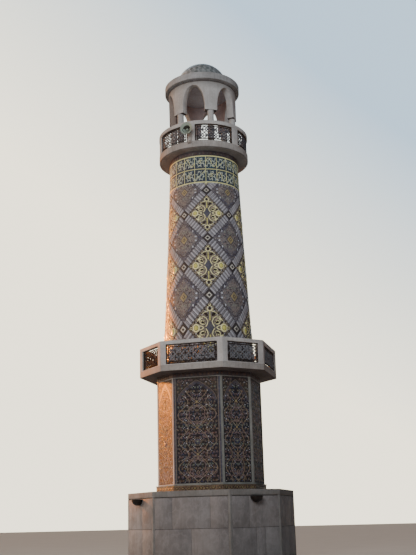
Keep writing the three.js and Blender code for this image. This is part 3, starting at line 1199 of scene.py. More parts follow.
@dataclass
class BaseBand:
    """The low tiled course at the foot of the lower shaft."""

    pitch: float = 0.228
    fillet: float = 0.035
    recess: float = 0.022
    line: float = 0.018

    def build(self) -> None:
        """Makes the course and its ornament."""
        keep("base_course", softened("base_band", 0.005), [Paint.FRAME], "base_tile", "base_band")
        low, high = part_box("base_band")
        height = high.z - low.z - self.fillet
        bm, paints = Octagon(high.x - self.recess).covered(
            low.z, lambda width: self.row(width, height))
        keep("base_course_tiles", bm, paints, "base_tile")

    def row(self, width: float, height: float) -> Pattern:
        """Draws a row of lozenges between triangles, with a thin line above and below.

        Args:
            width: The face's width.
            height: The row's height.

        Returns:
            The drawing.
        """
        pattern = Pattern()
        pattern.rectangle(
            -width / 2, width / 2, 0.004, height - 0.002, Paint.BASE_GROUND, 0.002, 0.0)
        inner = width - 0.03
        count = round(inner / self.pitch)
        step, middle = inner / count, height / 2
        half, tall = step * 0.36, height * 0.27
        for cell in range(count):
            x = (cell + 0.5) * step - inner / 2
            pattern.lozenge(x, middle, half, tall, Paint.UMBER)
            pattern.lozenge(x, middle, half * 0.56, tall * 0.6, Paint.OCHRE, 0.01)
            pattern.lozenge(x, middle, half * 0.18, tall * 0.24, Paint.RUST, 0.012)
            edge = x + step / 2
            pattern.disc(edge, middle, step * 0.08, Paint.SAND)
            for side in (-1, 1):
                base = middle + side * height * 0.36
                triangle = ((edge - half * 0.55, base), (edge + half * 0.55, base),
                            (edge, base - side * height * 0.13))
                pattern.tile(triangle, Paint.UMBER if cell % 3 else Paint.RUST)
        for z in (self.line, height - self.line):
            pattern.rectangle(-width / 2, width / 2, z - 0.007, z + 0.007, Paint.SAND, 0.007)
        return pattern


@dataclass
class MosaicPanel(Pattern):
    """One face's mosaic: a broad arch band over crossing straps, scrolls and blossoms."""

    width: float
    height: float
    period: float = 0.905
    first: float = 0.06
    band: float = 0.115
    cell: float = 0.132

    def __post_init__(self) -> None:
        """Works out the widths and heights that the drawing shares."""
        super().__init__()
        self.inner = self.width / 2 - 0.03
        self.sweep = self.inner * 0.54
        self.springing = self.height - 0.82
        self.apex = self.height - 0.1

    def arch_half(self, z: float) -> float:
        """Gives the arch's half-width at a height."""
        share = (z - self.springing) / (self.apex - self.springing)
        return self.inner * (1 - min(max(share, 0.0), 1.0) ** 1.9)

    def inner_strap(self, z: float) -> float:
        """Gives the distance from the middle line of the strap that crosses it."""
        return self.sweep * sin(pi * (z - self.first) / self.period)

    def outer_strap(self, z: float) -> float:
        """Gives the distance from the middle line of the strap that stays beside it."""
        return self.inner * (0.7 - 0.25 * cos(tau * (z - self.first) / self.period))

    def drawing(self) -> "MosaicPanel":
        """Draws the whole panel.

        Returns:
            The drawing, x from its middle line and z from its foot.
        """
        self.draw_arch()
        for strap in (self.inner_strap, self.outer_strap):
            self.strip(self.strap_line(strap), 0.028, Paint.SAND)
        self.draw_collars()
        self.draw_scrolls()
        self.mirror()
        edge = self.width / 2
        self.rectangle(-edge, edge, 0.0, self.height, Paint.DARK_GROUND, 0.0005, 0.0, 0.019)
        self.draw_middle()
        return self

    def strap_line(self, strap: Callable[[float], float]) -> list[Point]:
        """Follows a strap upward until it meets the arch.

        Args:
            strap: Its distance from the middle line at a height.

        Returns:
            The strap's line.
        """
        points = []
        z = 0.012
        while z < self.apex - 0.1:
            x = strap(z)
            if abs(x) > self.arch_half(z) - self.band * 0.8 and z > self.springing - 0.1:
                break
            points.append((x, z))
            z += 0.03
        return points

    def draw_arch(self) -> None:
        """Draws the right half of the arch band, tile by tile, and its spandrel."""
        line = [(self.arch_half(z), z) for z in spread(self.springing, self.apex, 16)]
        inside = [(max(x - self.band * 0.75, 0.0), z - self.band * 0.55) for x, z in line]
        for step, corners in enumerate(zip(line, line[1:], inside[1:], inside)):
            self.tile(corners, Paint.PLUM if step % 2 else Paint.BORDER, 0.0032, 0.0)
        self.strip([(x * 0.985, z + 0.01) for x, z in line], 0.016, Paint.SAND)
        top, edge = self.height - 0.012, self.width / 2 - 0.012
        outline = [(min(x + 0.02, edge), min(z + 0.02, top - 0.004)) for x, z in line]
        self.tile([*outline, (0.0, top), (edge, top)], Paint.SPANDREL, 0.0022, 0.0)

    def draw_collars(self) -> None:
        """Draws the curved ties between the two straps above and below each crossing."""
        for number in range(math.ceil(self.springing / self.period) + 1):
            for up in (-1, 1):
                middle = self.first + number * self.period + up * 0.165
                if 0.05 < middle < self.springing + 0.1:
                    reach = self.outer_strap(middle)
                    self.strip([(reach * share, middle + up * 0.055 * sin(pi * share * 1.5))
                                for share in spread(0.0, 1.0, 8)], 0.021, Paint.ROSE)

    def draw_scrolls(self) -> None:
        """Fills the right half with scrolls, leaves and dots in staggered rows."""
        scrolls = (Paint.SAND, Paint.ROSE, Paint.SAGE, Paint.ROSE, Paint.SAND)
        accents = (Paint.BLUE, Paint.WHITE, Paint.RUST, Paint.TEAL, Paint.SLATE, Paint.PLUM)
        columns = round(self.inner / self.cell)
        step = self.inner / columns
        rows = round((self.height - 0.06) / self.cell)
        for row in range(rows):
            z = 0.03 + (row + 0.5) * (self.height - 0.06) / rows
            for column in range(columns):
                x = (column + (0.7 if row % 2 else 0.38)) * step
                arch = abs(x - self.arch_half(z) + self.band * 0.4)
                if z > self.springing and arch < self.band * 0.85 or x > self.inner - 0.03:
                    continue
                number = 3 * row + 5 * column
                hand = 1 if (row + column) % 2 else -1
                self.spiral(x, z, 0.038 + 0.004 * (number % 4), 1.15, number * 0.9, hand,
                            0.015 + 0.0006 * (number % 5), scrolls[number % len(scrolls)])
                leaf_x, leaf_z = x + step * 0.46, z + self.cell * 0.3 * hand
                if leaf_x < self.inner - 0.03:
                    self.leaf(leaf_x, leaf_z, 0.064, 0.027, number * 0.7,
                              accents[number % len(accents)], 0.0042)
                if number % 3 == 0 and leaf_x < self.inner - 0.02:
                    self.disc(leaf_x, z - self.cell * 0.34 * hand, 0.013, Paint.WHITE, 0.005, 8)

    def draw_middle(self) -> None:
        """Draws the medallions, blossoms and crossings on the middle line."""
        for lens in range(math.ceil((self.apex - self.first) / self.period)):
            crossing = self.first + lens * self.period
            middle = crossing + 0.5 * self.period
            if middle < self.springing + 0.25 and lens % 2 == 0:
                ring = cusped(0.0, middle, self.sweep * 0.7, 8, 0.07, 1.15)
                self.strip(ring, 0.024, Paint.ROSE, closed=True)
                inside = lozenge(0.0, middle - 0.16, 0.06, 0.085)
                self.strip(inside, 0.02, Paint.SAND, closed=True)
                self.disc(0.0, middle + 0.06, 0.024, Paint.SLATE, 0.009)
            elif middle < self.springing + 0.25:
                self.draw_blossom(middle - 0.02)
            if 0.1 < crossing < self.apex - 0.25:
                self.lozenge(0.0, crossing, 0.034, 0.046, Paint.OCHRE, 0.011)
                for up in (-1, 1):
                    height = crossing + up * 0.07
                    self.leaf(0.0, height, 0.1, 0.04, up * pi / 2, Paint.SAND, 0.009)

    def draw_blossom(self, z: float) -> None:
        """Draws a blossom of eight petals in a ring.

        Args:
            z: The blossom's height.
        """
        self.disc(0.0, z, 0.034, Paint.SAGE, 0.009, 12)
        for petal, (foot_x, foot_z) in enumerate(circle(0.0, z, 0.046, 8)):
            paint = Paint.BLUE if petal % 2 else Paint.SLATE
            self.leaf(foot_x, foot_z, 0.062, 0.034, petal * pi / 4, paint, 0.007)
        self.strip(circle(0.0, z, 0.128, 20), 0.019, Paint.SAND, closed=True)


@dataclass
class LowerShaft:
    """The octagonal lower shaft: pale frame, dark frieze and eight mosaic panels."""

    pocket: float = 0.025
    panel_depth: float = 0.0203
    side_strips: float = 0.2006
    border: float = 0.096
    border_tile: float = 0.15
    frieze_gap: float = 0.03
    frieze_pitch: float = 0.155

    def build(self) -> None:
        """Makes the frame, the frieze, the panels and the borders of the wide faces."""
        walls = softened("lower_shaft", 0.004)
        # The narrow face toward the low sun takes the paler frame copy: painted light.
        sunny = polar(-pi / 4, 1.0)
        for face in walls.faces:
            if face.normal.dot(sunny) > 0.99:
                face.material_index = 1
        keep("shaft_frame", walls, [Paint.FRAME, Paint.BLEACHED], "frame_stone", "lower_shaft")
        octagon = node_octagon("lower_shaft")
        foot, head = (corner.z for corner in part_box("mosaic_front"))
        frieze = head + self.frieze_gap
        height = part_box("lower_shaft")[1].z - frieze - 0.004
        bm, paints = octagon.covered(frieze, lambda width: self.frieze(width - 0.002, height))
        keep("shaft_frieze", bm, paints, "mosaic_tile")

        panels: list[tuple[bpy.types.Mesh, list[Paint]]] = []
        for index, name in enumerate(FACE_NAMES):
            low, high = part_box(f"mosaic_{name}")
            if index < 2:
                width = octagon.width(index) - self.side_strips if index else (high - low).x
                panels.append(MosaicPanel(width, high.z - low.z).drawing().mesh())
            mesh, paints = panels[index % 2]
            bm = bmesh.new()
            bm.from_mesh(mesh)
            octagon.wall(index, low.z, self.pocket - self.panel_depth).lay(bm)
            keep(f"mosaic_panel_{name}", bm, paints, "mosaic_tile", f"mosaic_{name}")
        for mesh, _ in panels:
            bpy.data.meshes.remove(mesh)
        bm, paints = octagon.covered(
            foot, lambda width: self.borders(width / 2 - 0.002, head - foot), FACES[::2])
        keep("shaft_borders", bm, paints, "mosaic_tile")

    def borders(self, edge: float, height: float) -> Pattern:
        """Draws the slate tiles over the two corner strips of a wide face.

        Args:
            edge: Half the width over both strips.
            height: Height of the strips.

        Returns:
            The drawing.
        """
        pattern = Pattern()
        rows = round(height / self.border_tile)
        step = height / rows
        for row in range(rows):
            for side in (-1, 1):
                left, right = sorted((side * edge, side * (edge - self.border)))
                pattern.rectangle(left, right, row * step + 0.002, (row + 1) * step - 0.002,
                                  Paint.BORDER, 0.002, 0.001)
        for side in (-1, 1):
            line = side * (edge - self.border * 0.78)
            pattern.rectangle(line - 0.008, line + 0.008, 0.0, height, Paint.SAND, 0.004, 0.001)
        return pattern

    def frieze(self, width: float, height: float) -> Pattern:
        """Draws one face of the dark tile frieze under the balcony.

        Args:
            width: The face's width.
            height: The frieze's height.

        Returns:
            The drawing.
        """
        pattern = Pattern()
        pattern.rectangle(-width / 2, width / 2, 0.0, height, Paint.PLUM, 0.002, 0.0)
        count = round(width / self.frieze_pitch)
        step = width / count
        for cell in range(count):
            x = (cell + 0.5) * step - width / 2
            pattern.tile(cusped(x, height / 2, step * 0.34, 4, 0.16, 1.1, 4), Paint.FRIEZE_TILE)
            pattern.disc(x, height / 2, 0.012, Paint.PLUM if cell % 2 else Paint.RUST, 0.012, 8)
        return pattern


@dataclass
class GrilleWork(Pattern):
    """Cast openwork for a parapet opening: frame, slot, inner frame and scrolls."""

    width: float
    height: float
    paint: Paint
    bar: float
    frame: float = 0.034
    slot: float = 0.036
    half_depth: float = 0.011
    tie: float = 0.016
    tie_pitch: float = 0.42
    rows: int = 2

    def __post_init__(self) -> None:
        """Starts an empty drawing."""
        super().__init__()

    def drawing(self, cell_width: float) -> "GrilleWork":
        """Draws the grille about its own middle.

        Args:
            cell_width: The width aimed at for one cell of scrolls.

        Returns:
            The drawing.
        """
        outer_x, outer_z = self.width / 2, self.height / 2
        self.draw_frame(outer_x, outer_z, self.half_depth)
        inner_x = outer_x - self.frame - self.slot
        inner_z = outer_z - self.frame - self.slot
        self.draw_frame(inner_x, inner_z, self.half_depth * 0.8)
        self.draw_ties(inner_x, inner_z)
        field_x, field_z = inner_x - self.frame, inner_z - self.frame
        count = max(1, round(2 * field_x / cell_width))
        step, rise = 2 * field_x / count, 2 * field_z / self.rows
        for column in range(count):
            for row in range(self.rows):
                centre = ((column + 0.5) * step - field_x, (row + 0.5) * rise - field_z)
                self.add(self.cell(step / 2, rise / 2, (column + row) % 2), shifted(*centre))
        return self

    def draw_frame(self, x: float, z: float, half: float) -> None:
        """Draws four bars round a rectangle.

        Args:
            x: Half the outer width.
            z: Half the outer height.
            half: Half the bars' depth.
        """
        for side in (-1, 1):
            left, right = sorted((side * x, side * (x - self.frame)))
            self.rectangle(left, right, -z, z, Paint.IRON, half, 0.003, half)
            low, high = sorted((side * z, side * (z - self.frame)))
            self.rectangle(
                self.frame - x, x - self.frame, low, high, Paint.IRON, half, 0.003, half)

    def draw_ties(self, inner_x: float, inner_z: float) -> None:
        """Draws the short ties that cross the slot.

        Args:
            inner_x: Half the width of the inner frame.
            inner_z: Half its height.
        """
        count = max(2, round(2 * inner_x / self.tie_pitch))
        for x in spread(0.02 - inner_x, inner_x - 0.02, count):
            for low in (-inner_z - self.slot, inner_z):
                self.strip([(x, low), (x, low + self.slot)], self.tie, Paint.IRON)
        for left in (-inner_x - self.slot, inner_x):
            for z in (-inner_z / 2, inner_z / 2):
                self.strip([(left, z), (left + self.slot, z)], self.tie, Paint.IRON)

    def cell(self, half_x: float, half_z: float, kind: int) -> Pattern:
        """Draws one cell.

        Args:
            half_x: Half its width.
            half_z: Half its height.
            kind: 0 for a ring with four leaves, 1 for four scrolls round a boss.

        Returns:
            The drawing about the cell's middle.
        """
        bar, paint = self.bar, self.paint
        radius = min(half_x, half_z) * 0.74
        quarter = Pattern()
        quarter.strip([(radius, 0.0), (half_x, 0.0)], bar, paint)
        quarter.strip([(0.0, radius), (0.0, half_z)], bar, paint)
        if kind == 0:
            spot_x, spot_z = half_x * 0.86, half_z * 0.86
            quarter.strip(quarter_arc(radius), bar, paint)
            quarter.leaf(0.0, 0.0, radius * 0.92, radius * 0.5, pi / 4, paint, 0.007)
            quarter.disc(spot_x, spot_z, half_x * 0.15, paint, 0.008, 8)
            quarter.strip([(radius * 0.71, radius * 0.71), (spot_x, spot_z)], bar * 0.8, paint)
        else:
            quarter.spiral(
                half_x * 0.5, half_z * 0.5, radius * 0.42, 1.2, -2.36, 1, bar * 0.9, paint)
            quarter.strip([(0.0, 0.0), (half_x * 0.24, half_z * 0.24)], bar, paint)
            quarter.strip([(half_x * 0.76, half_z * 0.76), (half_x, half_z)], bar, paint)
            quarter.strip([(0.0, radius), (0.0, 0.0), (radius, 0.0)], bar * 0.8, paint)
        quarter.fourfold()
        quarter.disc(0.0, 0.0, radius * 0.26, paint, 0.01)
        return quarter


@dataclass
class LowerBalcony:
    """The octagonal balcony: slab, parapet and eight grilles."""

    post: float = 0.2
    opening: float = 6.785
    lintel: float = 7.49
    setback: float = 0.06
    clearance: float = 0.002
    cell: float = 0.25
    bar: float = 0.035

    def build(self) -> None:
        """Makes every piece of the balcony."""
        # The slab's underside takes the darker coat: painted shade.
        keep("lower_slab", with_shaded_underside(softened("lower_balcony_slab", 0.01, 3)),
             [Paint.SLAB_COAT, Paint.LOW_SOFFIT], "render_coat", "lower_balcony_slab")
        keep("lower_railing", softened("lower_parapet", 0.008, 3), [Paint.COAT], "render_coat",
             "lower_parapet")
        octagon = node_octagon("lower_parapet")
        height = self.lintel - self.opening - self.clearance
        middle = (self.opening + self.lintel) / 2
        for index, name in enumerate(FACE_NAMES):
            width = octagon.width(index) - 2 * self.post - self.clearance
            # Grilles on the sunny left side take the darker iron copy and the others the paler one:
            # painted shade and painted sheen.
            paint = Paint.SUNNY_OPENWORK if "left" in name else Paint.OPENWORK
            drawing = GrilleWork(width, height, paint, self.bar).drawing(self.cell)
            bm, paints = drawing.laid(octagon.wall(index, middle, self.setback), Section.BAR)
            keep(f"lower_openwork_{name}", bm, paints, "dark_iron", f"lower_grille_{name}")


@dataclass
class RoundShaft:
    """The tapered shaft: wall, glazed net, gold lozenges and brown lozenges."""

    head: float = 1.34
    top: float = 15.12
    taper: float = 1.25
    wall: float = 0.28
    seat: float = 0.0217
    band_foot: float = 13.8
    band_top: float = 14.92
    half_band: float = 0.132
    node_half: float = 0.2
    joint: float = 0.014
    bricks: int = 9
    columns: int = 10
    top_row: int = 1
    last_row: int = -7

    def __post_init__(self) -> None:
        """Reads the shaft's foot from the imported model."""
        low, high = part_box("round_shaft")
        self.foot = low.z
        self.foot_radius = high.x
        self.net = NetWall(self.radius_at)

    def radius_at(self, height: float) -> float:
        """Gives the wall's radius at a height."""
        share = max(self.top - height, 0.0) / (self.top - self.foot)
        return self.head + (self.foot_radius - self.head) * share ** self.taper

    def build(self) -> None:
        """Makes every piece of the shaft."""
        self.build_wall()
        self.build_net()
        half = 1 - self.half_band * sqrt(2) - 0.024
        self.build_fields("shaft_gold_work", self.gold_lozenge(), 0, (1, -1, -3, -5, -7),
                          ((Paint.GREY_GROUND, half, 0.005),))
        self.build_fields(
            "shaft_brown_work", self.brown_lozenge(), 1, (0, -2, -4, -6),
            ((Paint.BROWN_GROUND, half, 0.005), (Paint.MEDALLION_GROUND, 0.6, 0.008)))

    def build_wall(self) -> None:
        """Makes the smooth wall behind the tiles, set back behind the ornament band."""
        head = self.top - 0.0003
        spots = [(z, 0.0) for z in spread(self.foot, self.band_foot, 24)]
        spots += [(self.band_foot, self.seat), (self.band_top, self.seat), (self.band_top, 0.0),
                  (head, 0.0), (head, self.wall), (self.foot, self.wall)]
        profile = [(self.radius_at(z) - back, z) for z, back in spots]
        keep("shaft_wall", ringed(profile), [Paint.GROUT], "shaft_tile", "round_shaft")

    def trimmed(self, bm: BMesh) -> BMesh:
        """Cuts net work off at the band above and the floor below, and closes the cuts.

        Args:
            bm: The net work.

        Returns:
            The same mesh.
        """
        cut_off(bm, (0, 0, self.band_foot - 0.004), (0, 0, 1))
        cut_off(bm, (0, 0, self.foot + 0.004), (0, 0, -1))
        return facing_out(bm)

    def build_net(self) -> None:
        """Makes the bricks of the net and the dark tiles on its crossings."""
        pattern, crossing, band = Pattern(), self.crossing(), self.band()
        for row in range(self.last_row - 1, self.top_row + 1):
            for column in range(row % 2, self.columns, 2):
                pattern.add(crossing, shifted(column, row))
                for turn in (-pi / 4, pi / 4):
                    pattern.add(band, shifted(column, row, turn))
        bm, paints = pattern.laid(self.net)
        keep("shaft_net", self.trimmed(bm), paints, "shaft_tile")

    def band(self) -> Pattern:
        """Draws the bricks of one band and the slim tiles between them, from a crossing on.

        Returns:
            The drawing, the band running to the right.
        """
        pattern = Pattern()
        start = self.node_half / sqrt(2) + self.joint
        pitch = (sqrt(2) - 2 * start) / self.bricks
        slim, half, joint = pitch * 0.26, self.half_band, self.joint
        for left in spread(start, start + self.bricks * pitch, self.bricks)[:-1]:
            right = left + pitch
            pattern.rectangle(
                left + joint, right - slim - joint, -half, half, Paint.NET_TILE, 0.012, 0.005)
            pattern.rectangle(right - slim, right - joint * 0.3, 0.012 - half, half - 0.012,
                              Paint.SLIM_TILE, 0.012, 0.005)
        return pattern

    def crossing(self) -> Pattern:
        """Draws the dark tile on a crossing with a pale lozenge and a dark heart on it.

        Returns:
            The drawing.
        """
        pattern = Pattern()
        across, up = self.node_half - 0.006, self.node_half - 0.026
        for side in (-across, across):
            pattern.tile(((0.0, -up), (side, 0.0), (0.0, up)), Paint.NODE_TILE, 0.012, 0.0)
        pattern.lozenge(0.0, 0.0, 0.116, 0.1, Paint.NODE_MARK, 0.018, 0.002)
        pattern.lozenge(0.0, 0.0, 0.066, 0.052, Paint.NODE_TILE, 0.021, 0.0)
        return pattern

    def plate(self, half: float, lift: float, number: int) -> bpy.types.Mesh:
        """Makes a lozenge-shaped ground plate in the net's units.

        Args:
            half: Half its diagonal.
            lift: Rise of its face over the wall.
            number: Its finish's number.

        Returns:
            The plate.
        """
        bm = bmesh.new()
        bm.faces.layers.float.new("tint")
        turn = Matrix.Rotation(pi / 2, 4, "X") @ Matrix.Rotation(pi / 4, 4, "Z")
        bmesh.ops.create_grid(bm, x_segments=10, y_segments=10, size=half / sqrt(2), matrix=turn)
        made = bmesh.ops.extrude_face_region(bm, geom=bm.faces[:], use_keep_orig=True)["geom"]
        bmesh.ops.translate(bm, verts=fresh(made, BMVert), vec=(0.0, -lift - 0.002, 0.0))
        bmesh.ops.translate(bm, verts=bm.verts, vec=(0.0, 0.002, 0.0))
        for face in bm.faces:
            face.material_index = number
        return taken(bm)

    def build_fields(self, name: str, drawing: Pattern, first: int, rows: Sequence[int],
                     plates: Sequence[tuple[Paint, float, float]]) -> None:
        """Lays one kind of lozenge in every other column.

        Args:
            name: The piece's name.
            drawing: What is drawn in the lozenge.
            first: The first column.
            rows: The rows of its middles.
            plates: Finish, half diagonal and rise of each ground plate.
        """
        mesh, paints = drawing.mesh()
        sources = [mesh]
        for paint, half, lift in plates:
            sources.append(self.plate(half, lift, len(paints)))
            paints.append(paint)
        whole = bmesh.new()
        whole.faces.layers.float.new("tint")
        for column in range(first, self.columns, 2):
            for row in rows:
                for source in sources:
                    start = len(whole.verts)
                    whole.from_mesh(source)
                    whole.verts.ensure_lookup_table()
                    bmesh.ops.translate(whole, verts=whole.verts[start:], vec=(column, 0.0, row))
        for source in sources:
            bpy.data.meshes.remove(source)
        keep(name, self.trimmed(self.net.lay(whole)), paints, "shaft_tile")

    def gold_lozenge(self) -> Pattern:
        """Draws the bold gold scrollwork of a lozenge, with dark tiles between.

        Returns:
            The drawing.
        """
        quarter = Pattern()
        quarter.spiral(0.27, 0.215, 0.13, 1.3, -2.5, 1, 0.035, Paint.GOLD)
        for width, tip, line in (
                (0.037, 0.022, ((0.15, 0.03), (0.095, 0.11), (0.075, 0.19), (0.14, 0.29),
                                (0.25, 0.345), (0.33, 0.33))),
                (0.035, 0.026, ((0.225, 0.0), (0.3, 0.05), (0.4, 0.06))),
                (0.032, 0.022, ((0.34, 0.33), (0.42, 0.25), (0.47, 0.17), (0.56, 0.13))),
                (0.034, 0.02, ((0.06, 0.5), (0.15, 0.48), (0.23, 0.44), (0.29, 0.38))),
                (0.034, 0.02, ((0.62, 0.06), (0.68, 0.03), (0.725, 0.01))),
                (0.039, 0.02, ((0.095, 0.54), (0.07, 0.64), (0.015, 0.725)))):
            quarter.strip(line, width, Paint.GOLD, tip)
        for leaf, paint, rise in (
                ((0.33, 0.27, 0.12, 0.056, -0.3), Paint.GOLD, 0.014),
                ((0.265, 0.225, 0.09, 0.06, 2.3), Paint.ROSE, 0.012),
                ((0.06, 0.345, 0.19, 0.095, 0.62), Paint.UMBER, 0.009),
                ((0.39, 0.115, 0.13, 0.06, 0.75), Paint.UMBER, 0.009),
                ((0.18, 0.11, 0.13, 0.05, 0.6), Paint.UMBER, 0.009)):
            quarter.leaf(*leaf, paint, rise)
        quarter.disc(0.27, 0.16, 0.036, Paint.UMBER, 0.011, 8)
        for step in range(6):
            share = (step + 0.5) / 6
            x, z = 0.735 * share, 0.735 * (1 - share)
            quarter.lozenge(x, z, 0.034, 0.034, Paint.UMBER, 0.01)
            quarter.lozenge(x * 0.9 + 0.004, z * 0.9 + 0.004, 0.026, 0.026, Paint.NET_TILE, 0.012)
        quarter.fourfold()
        for side in (-1, 1):
            for radius, paint, rise in ((0.128, Paint.GOLD, 0.008), (0.102, Paint.UMBER, 0.012),
                                        (0.08, Paint.BOSS, 0.018)):
                quarter.disc(side * 0.495, 0.0, radius, paint, rise, 12)
            quarter.strip(circle(0.0, side * 0.585, 0.084, 14), 0.032, Paint.GOLD, closed=True)
            quarter.disc(0.0, side * 0.585, 0.05, Paint.UMBER, 0.01, 10)
            quarter.strip([(0.0, side * 0.215), (0.0, side * 0.49)], 0.048, Paint.BOSS, 0.024)
        quarter.lozenge(0.0, 0.0, 0.15, 0.18, Paint.SLATE, 0.014)
        return quarter.bent()

    def brown_lozenge(self) -> Pattern:
        """Draws the cusped medallion, its small middle motif and the spots along the edges.

        Returns:
            The drawing.
        """
        pattern = Pattern()
        pattern.strip(self.medallion_edge(), 0.024, Paint.UMBER, closed=True)
        quarter = Pattern()
        for spiral in ((0.16, 0.29, 0.105, 1.2, -2.4, 1, 0.04),
                       (0.33, 0.12, 0.085, 1.1, 2.8, -1, 0.036),
                       (0.075, 0.48, 0.06, 1.0, -1.8, 1, 0.032)):
            quarter.spiral(*spiral, Paint.PLUM)
        for leaf, paint in (((0.205, 0.06, 0.13, 0.06, 0.9), Paint.PLUM),
                            ((0.225, 0.15, 0.12, 0.05, 0.5), Paint.ROSE),
                            ((0.03, 0.235, 0.11, 0.05, 0.9), Paint.SAGE),
                            ((0.3, 0.23, 0.11, 0.045, 2.2), Paint.SAGE),
                            ((0.43, 0.06, 0.09, 0.04, 2.6), Paint.ROSE),
                            ((0.03, 0.4, 0.1, 0.04, 1.2), Paint.ROSE)):
            quarter.leaf(*leaf, paint)
        quarter.lozenge(0.52, 0.074, 0.05, 0.032, Paint.WHITE, 0.012)
        quarter.lozenge(0.395, 0.3, 0.028, 0.046, Paint.WHITE, 0.012)
        for step in range(5):
            share = (step + 0.5) / 5
            quarter.disc(0.745 * share, 0.745 * (1 - share), 0.018, Paint.BORDER, 0.01, 6)
        quarter.fourfold()
        pattern.add(quarter)
        for across, tall, paint, rise in (
                (0.205, 0.205, Paint.PLUM, 0.01), (0.155, 0.16, Paint.OCHRE, 0.013),
                (0.07, 0.075, Paint.PLUM, 0.016), (0.032, 0.036, Paint.OCHRE, 0.018)):
            pattern.lozenge(0.0, 0.0, across, tall, paint, rise)
        return pattern.bent()

    def medallion_edge(self) -> list[Point]:
        """Follows the medallion's edge, four lobes a side.

        Returns:
            The edge's points.
        """
        points = []
        lobes, steps = 4, 10
        corners = ((1.0, 0.0), (0.0, 1.0), (-1.0, 0.0), (0.0, -1.0), (1.0, 0.0))
        for (start_x, start_z), (end_x, end_z) in zip(corners, corners[1:]):
            for lobe in range(lobes):
                for step in range(steps):
                    share = (lobe + step / steps) / lobes
                    bulge = 1.0 + 0.1 * abs(sin(pi * step / steps))
                    reach = 0.6 * bulge + 0.1 * sin(pi * share)
                    points.append(((start_x + (end_x - start_x) * share) * reach,
                                   (start_z + (end_z - start_z) * share) * reach))
        return points


@dataclass
class OrnamentBand:
    """The navy band below the upper balcony: three gold mouldings and two rows of interlace."""

    shaft: RoundShaft
    moulding: float = 0.04
    middle_moulding: float = 0.026
    proud: float = 0.012
    seat: float = 0.0214
    cells: int = 20
    spots: int = 60

    def build(self) -> None:
        """Makes the ring, its mouldings and interlace, and the borders above and below."""
        low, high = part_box("ornament_band")
        radius_at = self.shaft.radius_at
        middle = (low.z + high.z) / 2
        ground = [(radius_at(z), z) for z in (low.z, middle, high.z)]
        back = [(radius_at(z) - self.seat, z) for z in (high.z, low.z)]
        keep("band_ground", ringed([*ground, *back]), [Paint.NAVY_GROUND], "band_tile",
             "ornament_band")
        rings = [self.ring(low.z + self.moulding / 2, self.moulding / 2),
                 self.ring(middle, self.middle_moulding / 2),
                 self.ring(high.z - self.moulding / 2, self.moulding / 2)]
        keep("band_mouldings", merged(rings), [Paint.LIME], "band_tile")

        reference = radius_at(middle)
        pattern = Pattern()
        step = tau * reference / self.cells
        height = middle - low.z - self.moulding - 0.02
        for cell in range(self.cells):
            for row in range(2):
                foot = self.moulding + 0.006 + row * (middle - low.z - 0.01)
                pattern.add(self.motif(step, height, (cell + row) % 3), shifted(cell * step, foot))
        wall = RoundWall(radius_at, reference, low.z)
        keep("band_interlace", *pattern.laid(wall), "band_tile")
        self.build_upper_border(high.z)
        self.build_spots(self.shaft.band_foot)

    def ring(self, centre: float, half: float) -> BMesh:
        """Makes one moulding.

        Args:
            centre: Height of its middle.
            half: Half its height.

        Returns:
            The moulding.
        """
        radius = self.shaft.radius_at(centre)
        side = ((-0.004, 1.0), (self.proud * 0.5, 1.0), (self.proud, 0.5))
        return ringed([*((radius + out, centre - half * share) for out, share in side),
                       *((radius + out, centre + half * share) for out, share in reversed(side))])

    def motif(self, step: float, height: float, kind: int) -> Pattern:
        """Draws one cell of the interlace.

        Args:
            step: The cell's width.
            height: Its height.
            kind: Which of three fillings it takes.

        Returns:
            The drawing, x from its left edge and z from its foot.
        """
        pattern = Pattern()
        middle_x, middle_z = step / 2, height / 2
        pattern.rectangle(-0.009, 0.009, 0.0, height, Paint.LIME, 0.007)
        lean = -0.045 if kind == 1 else 0.045
        for twig in range(3):
            x = step * (0.24 + 0.27 * twig)
            bends = ((-1.0, 0.1), (-0.2, 0.42), (0.5, 0.66), (1.0, 0.9))
            pattern.strip([(x + lean * aside, height * up) for aside, up in bends], 0.021,
                          Paint.PALE_LEAF, 0.012)
            for leaf in range(4):
                turn = pi / 2 - (0.95 if (leaf + twig + kind) % 2 else -0.95)
                pattern.leaf(x + lean * (leaf / 2 - 1), height * (0.14 + 0.2 * leaf), 0.098, 0.026,
                             turn, Paint.PALE_LEAF, 0.008)
            pattern.disc(x + 0.045, height * (0.3 + 0.2 * ((twig + kind) % 3)), 0.014, Paint.WHITE,
                         0.008, 8)
        if kind == 2:
            pattern.strip([(step * share, middle_z + height * 0.34 * sin(tau * share))
                           for share in spread(0.0, 1.0, 14)], 0.024, Paint.LIME)
        elif kind == 1:
            pattern.spiral(middle_x, middle_z, 0.095, 1.2, 0.6, 1, 0.024, Paint.LIME)
        else:
            pattern.strip([(0.0, 0.02), (middle_x, middle_z), (step, height - 0.02)], 0.022,
                          Paint.LIME)
        return pattern

    def build_upper_border(self, foot: float) -> None:
        """Makes the plum border above the band.

        Args:
            foot: Top of the band.
        """
        height = self.shaft.top - foot - 0.012
        reference = self.shaft.radius_at(foot)
        step = tau * reference / self.spots
        pattern = Pattern()
        for cell in range(self.spots):
            left = cell * step
            pattern.rectangle(left + 0.004, left + step - 0.004, 0.008, height, Paint.PLUM, 0.005)
            paint = Paint.SAGE if cell % 2 else Paint.RUST
            pattern.disc(left + step / 2, height / 2, 0.014, paint, 0.01, 8)
        wall = RoundWall(self.shaft.radius_at, reference, foot)
        keep("band_upper_border", *pattern.laid(wall), "band_tile")

    def build_spots(self, foot: float) -> None:
        """Makes the row of spots below the band.

        Args:
            foot: Foot of the band.
        """
        reference = self.shaft.radius_at(foot)
        pattern = Pattern()
        for cell in range(self.spots):
            x = (cell + 0.5) * tau * reference / self.spots
            pattern.disc(x, -0.045, 0.015, Paint.WHITE, 0.014, 8)
        wall = RoundWall(self.shaft.radius_at, reference, foot)
        keep("band_spots", *pattern.laid(wall), "band_tile")


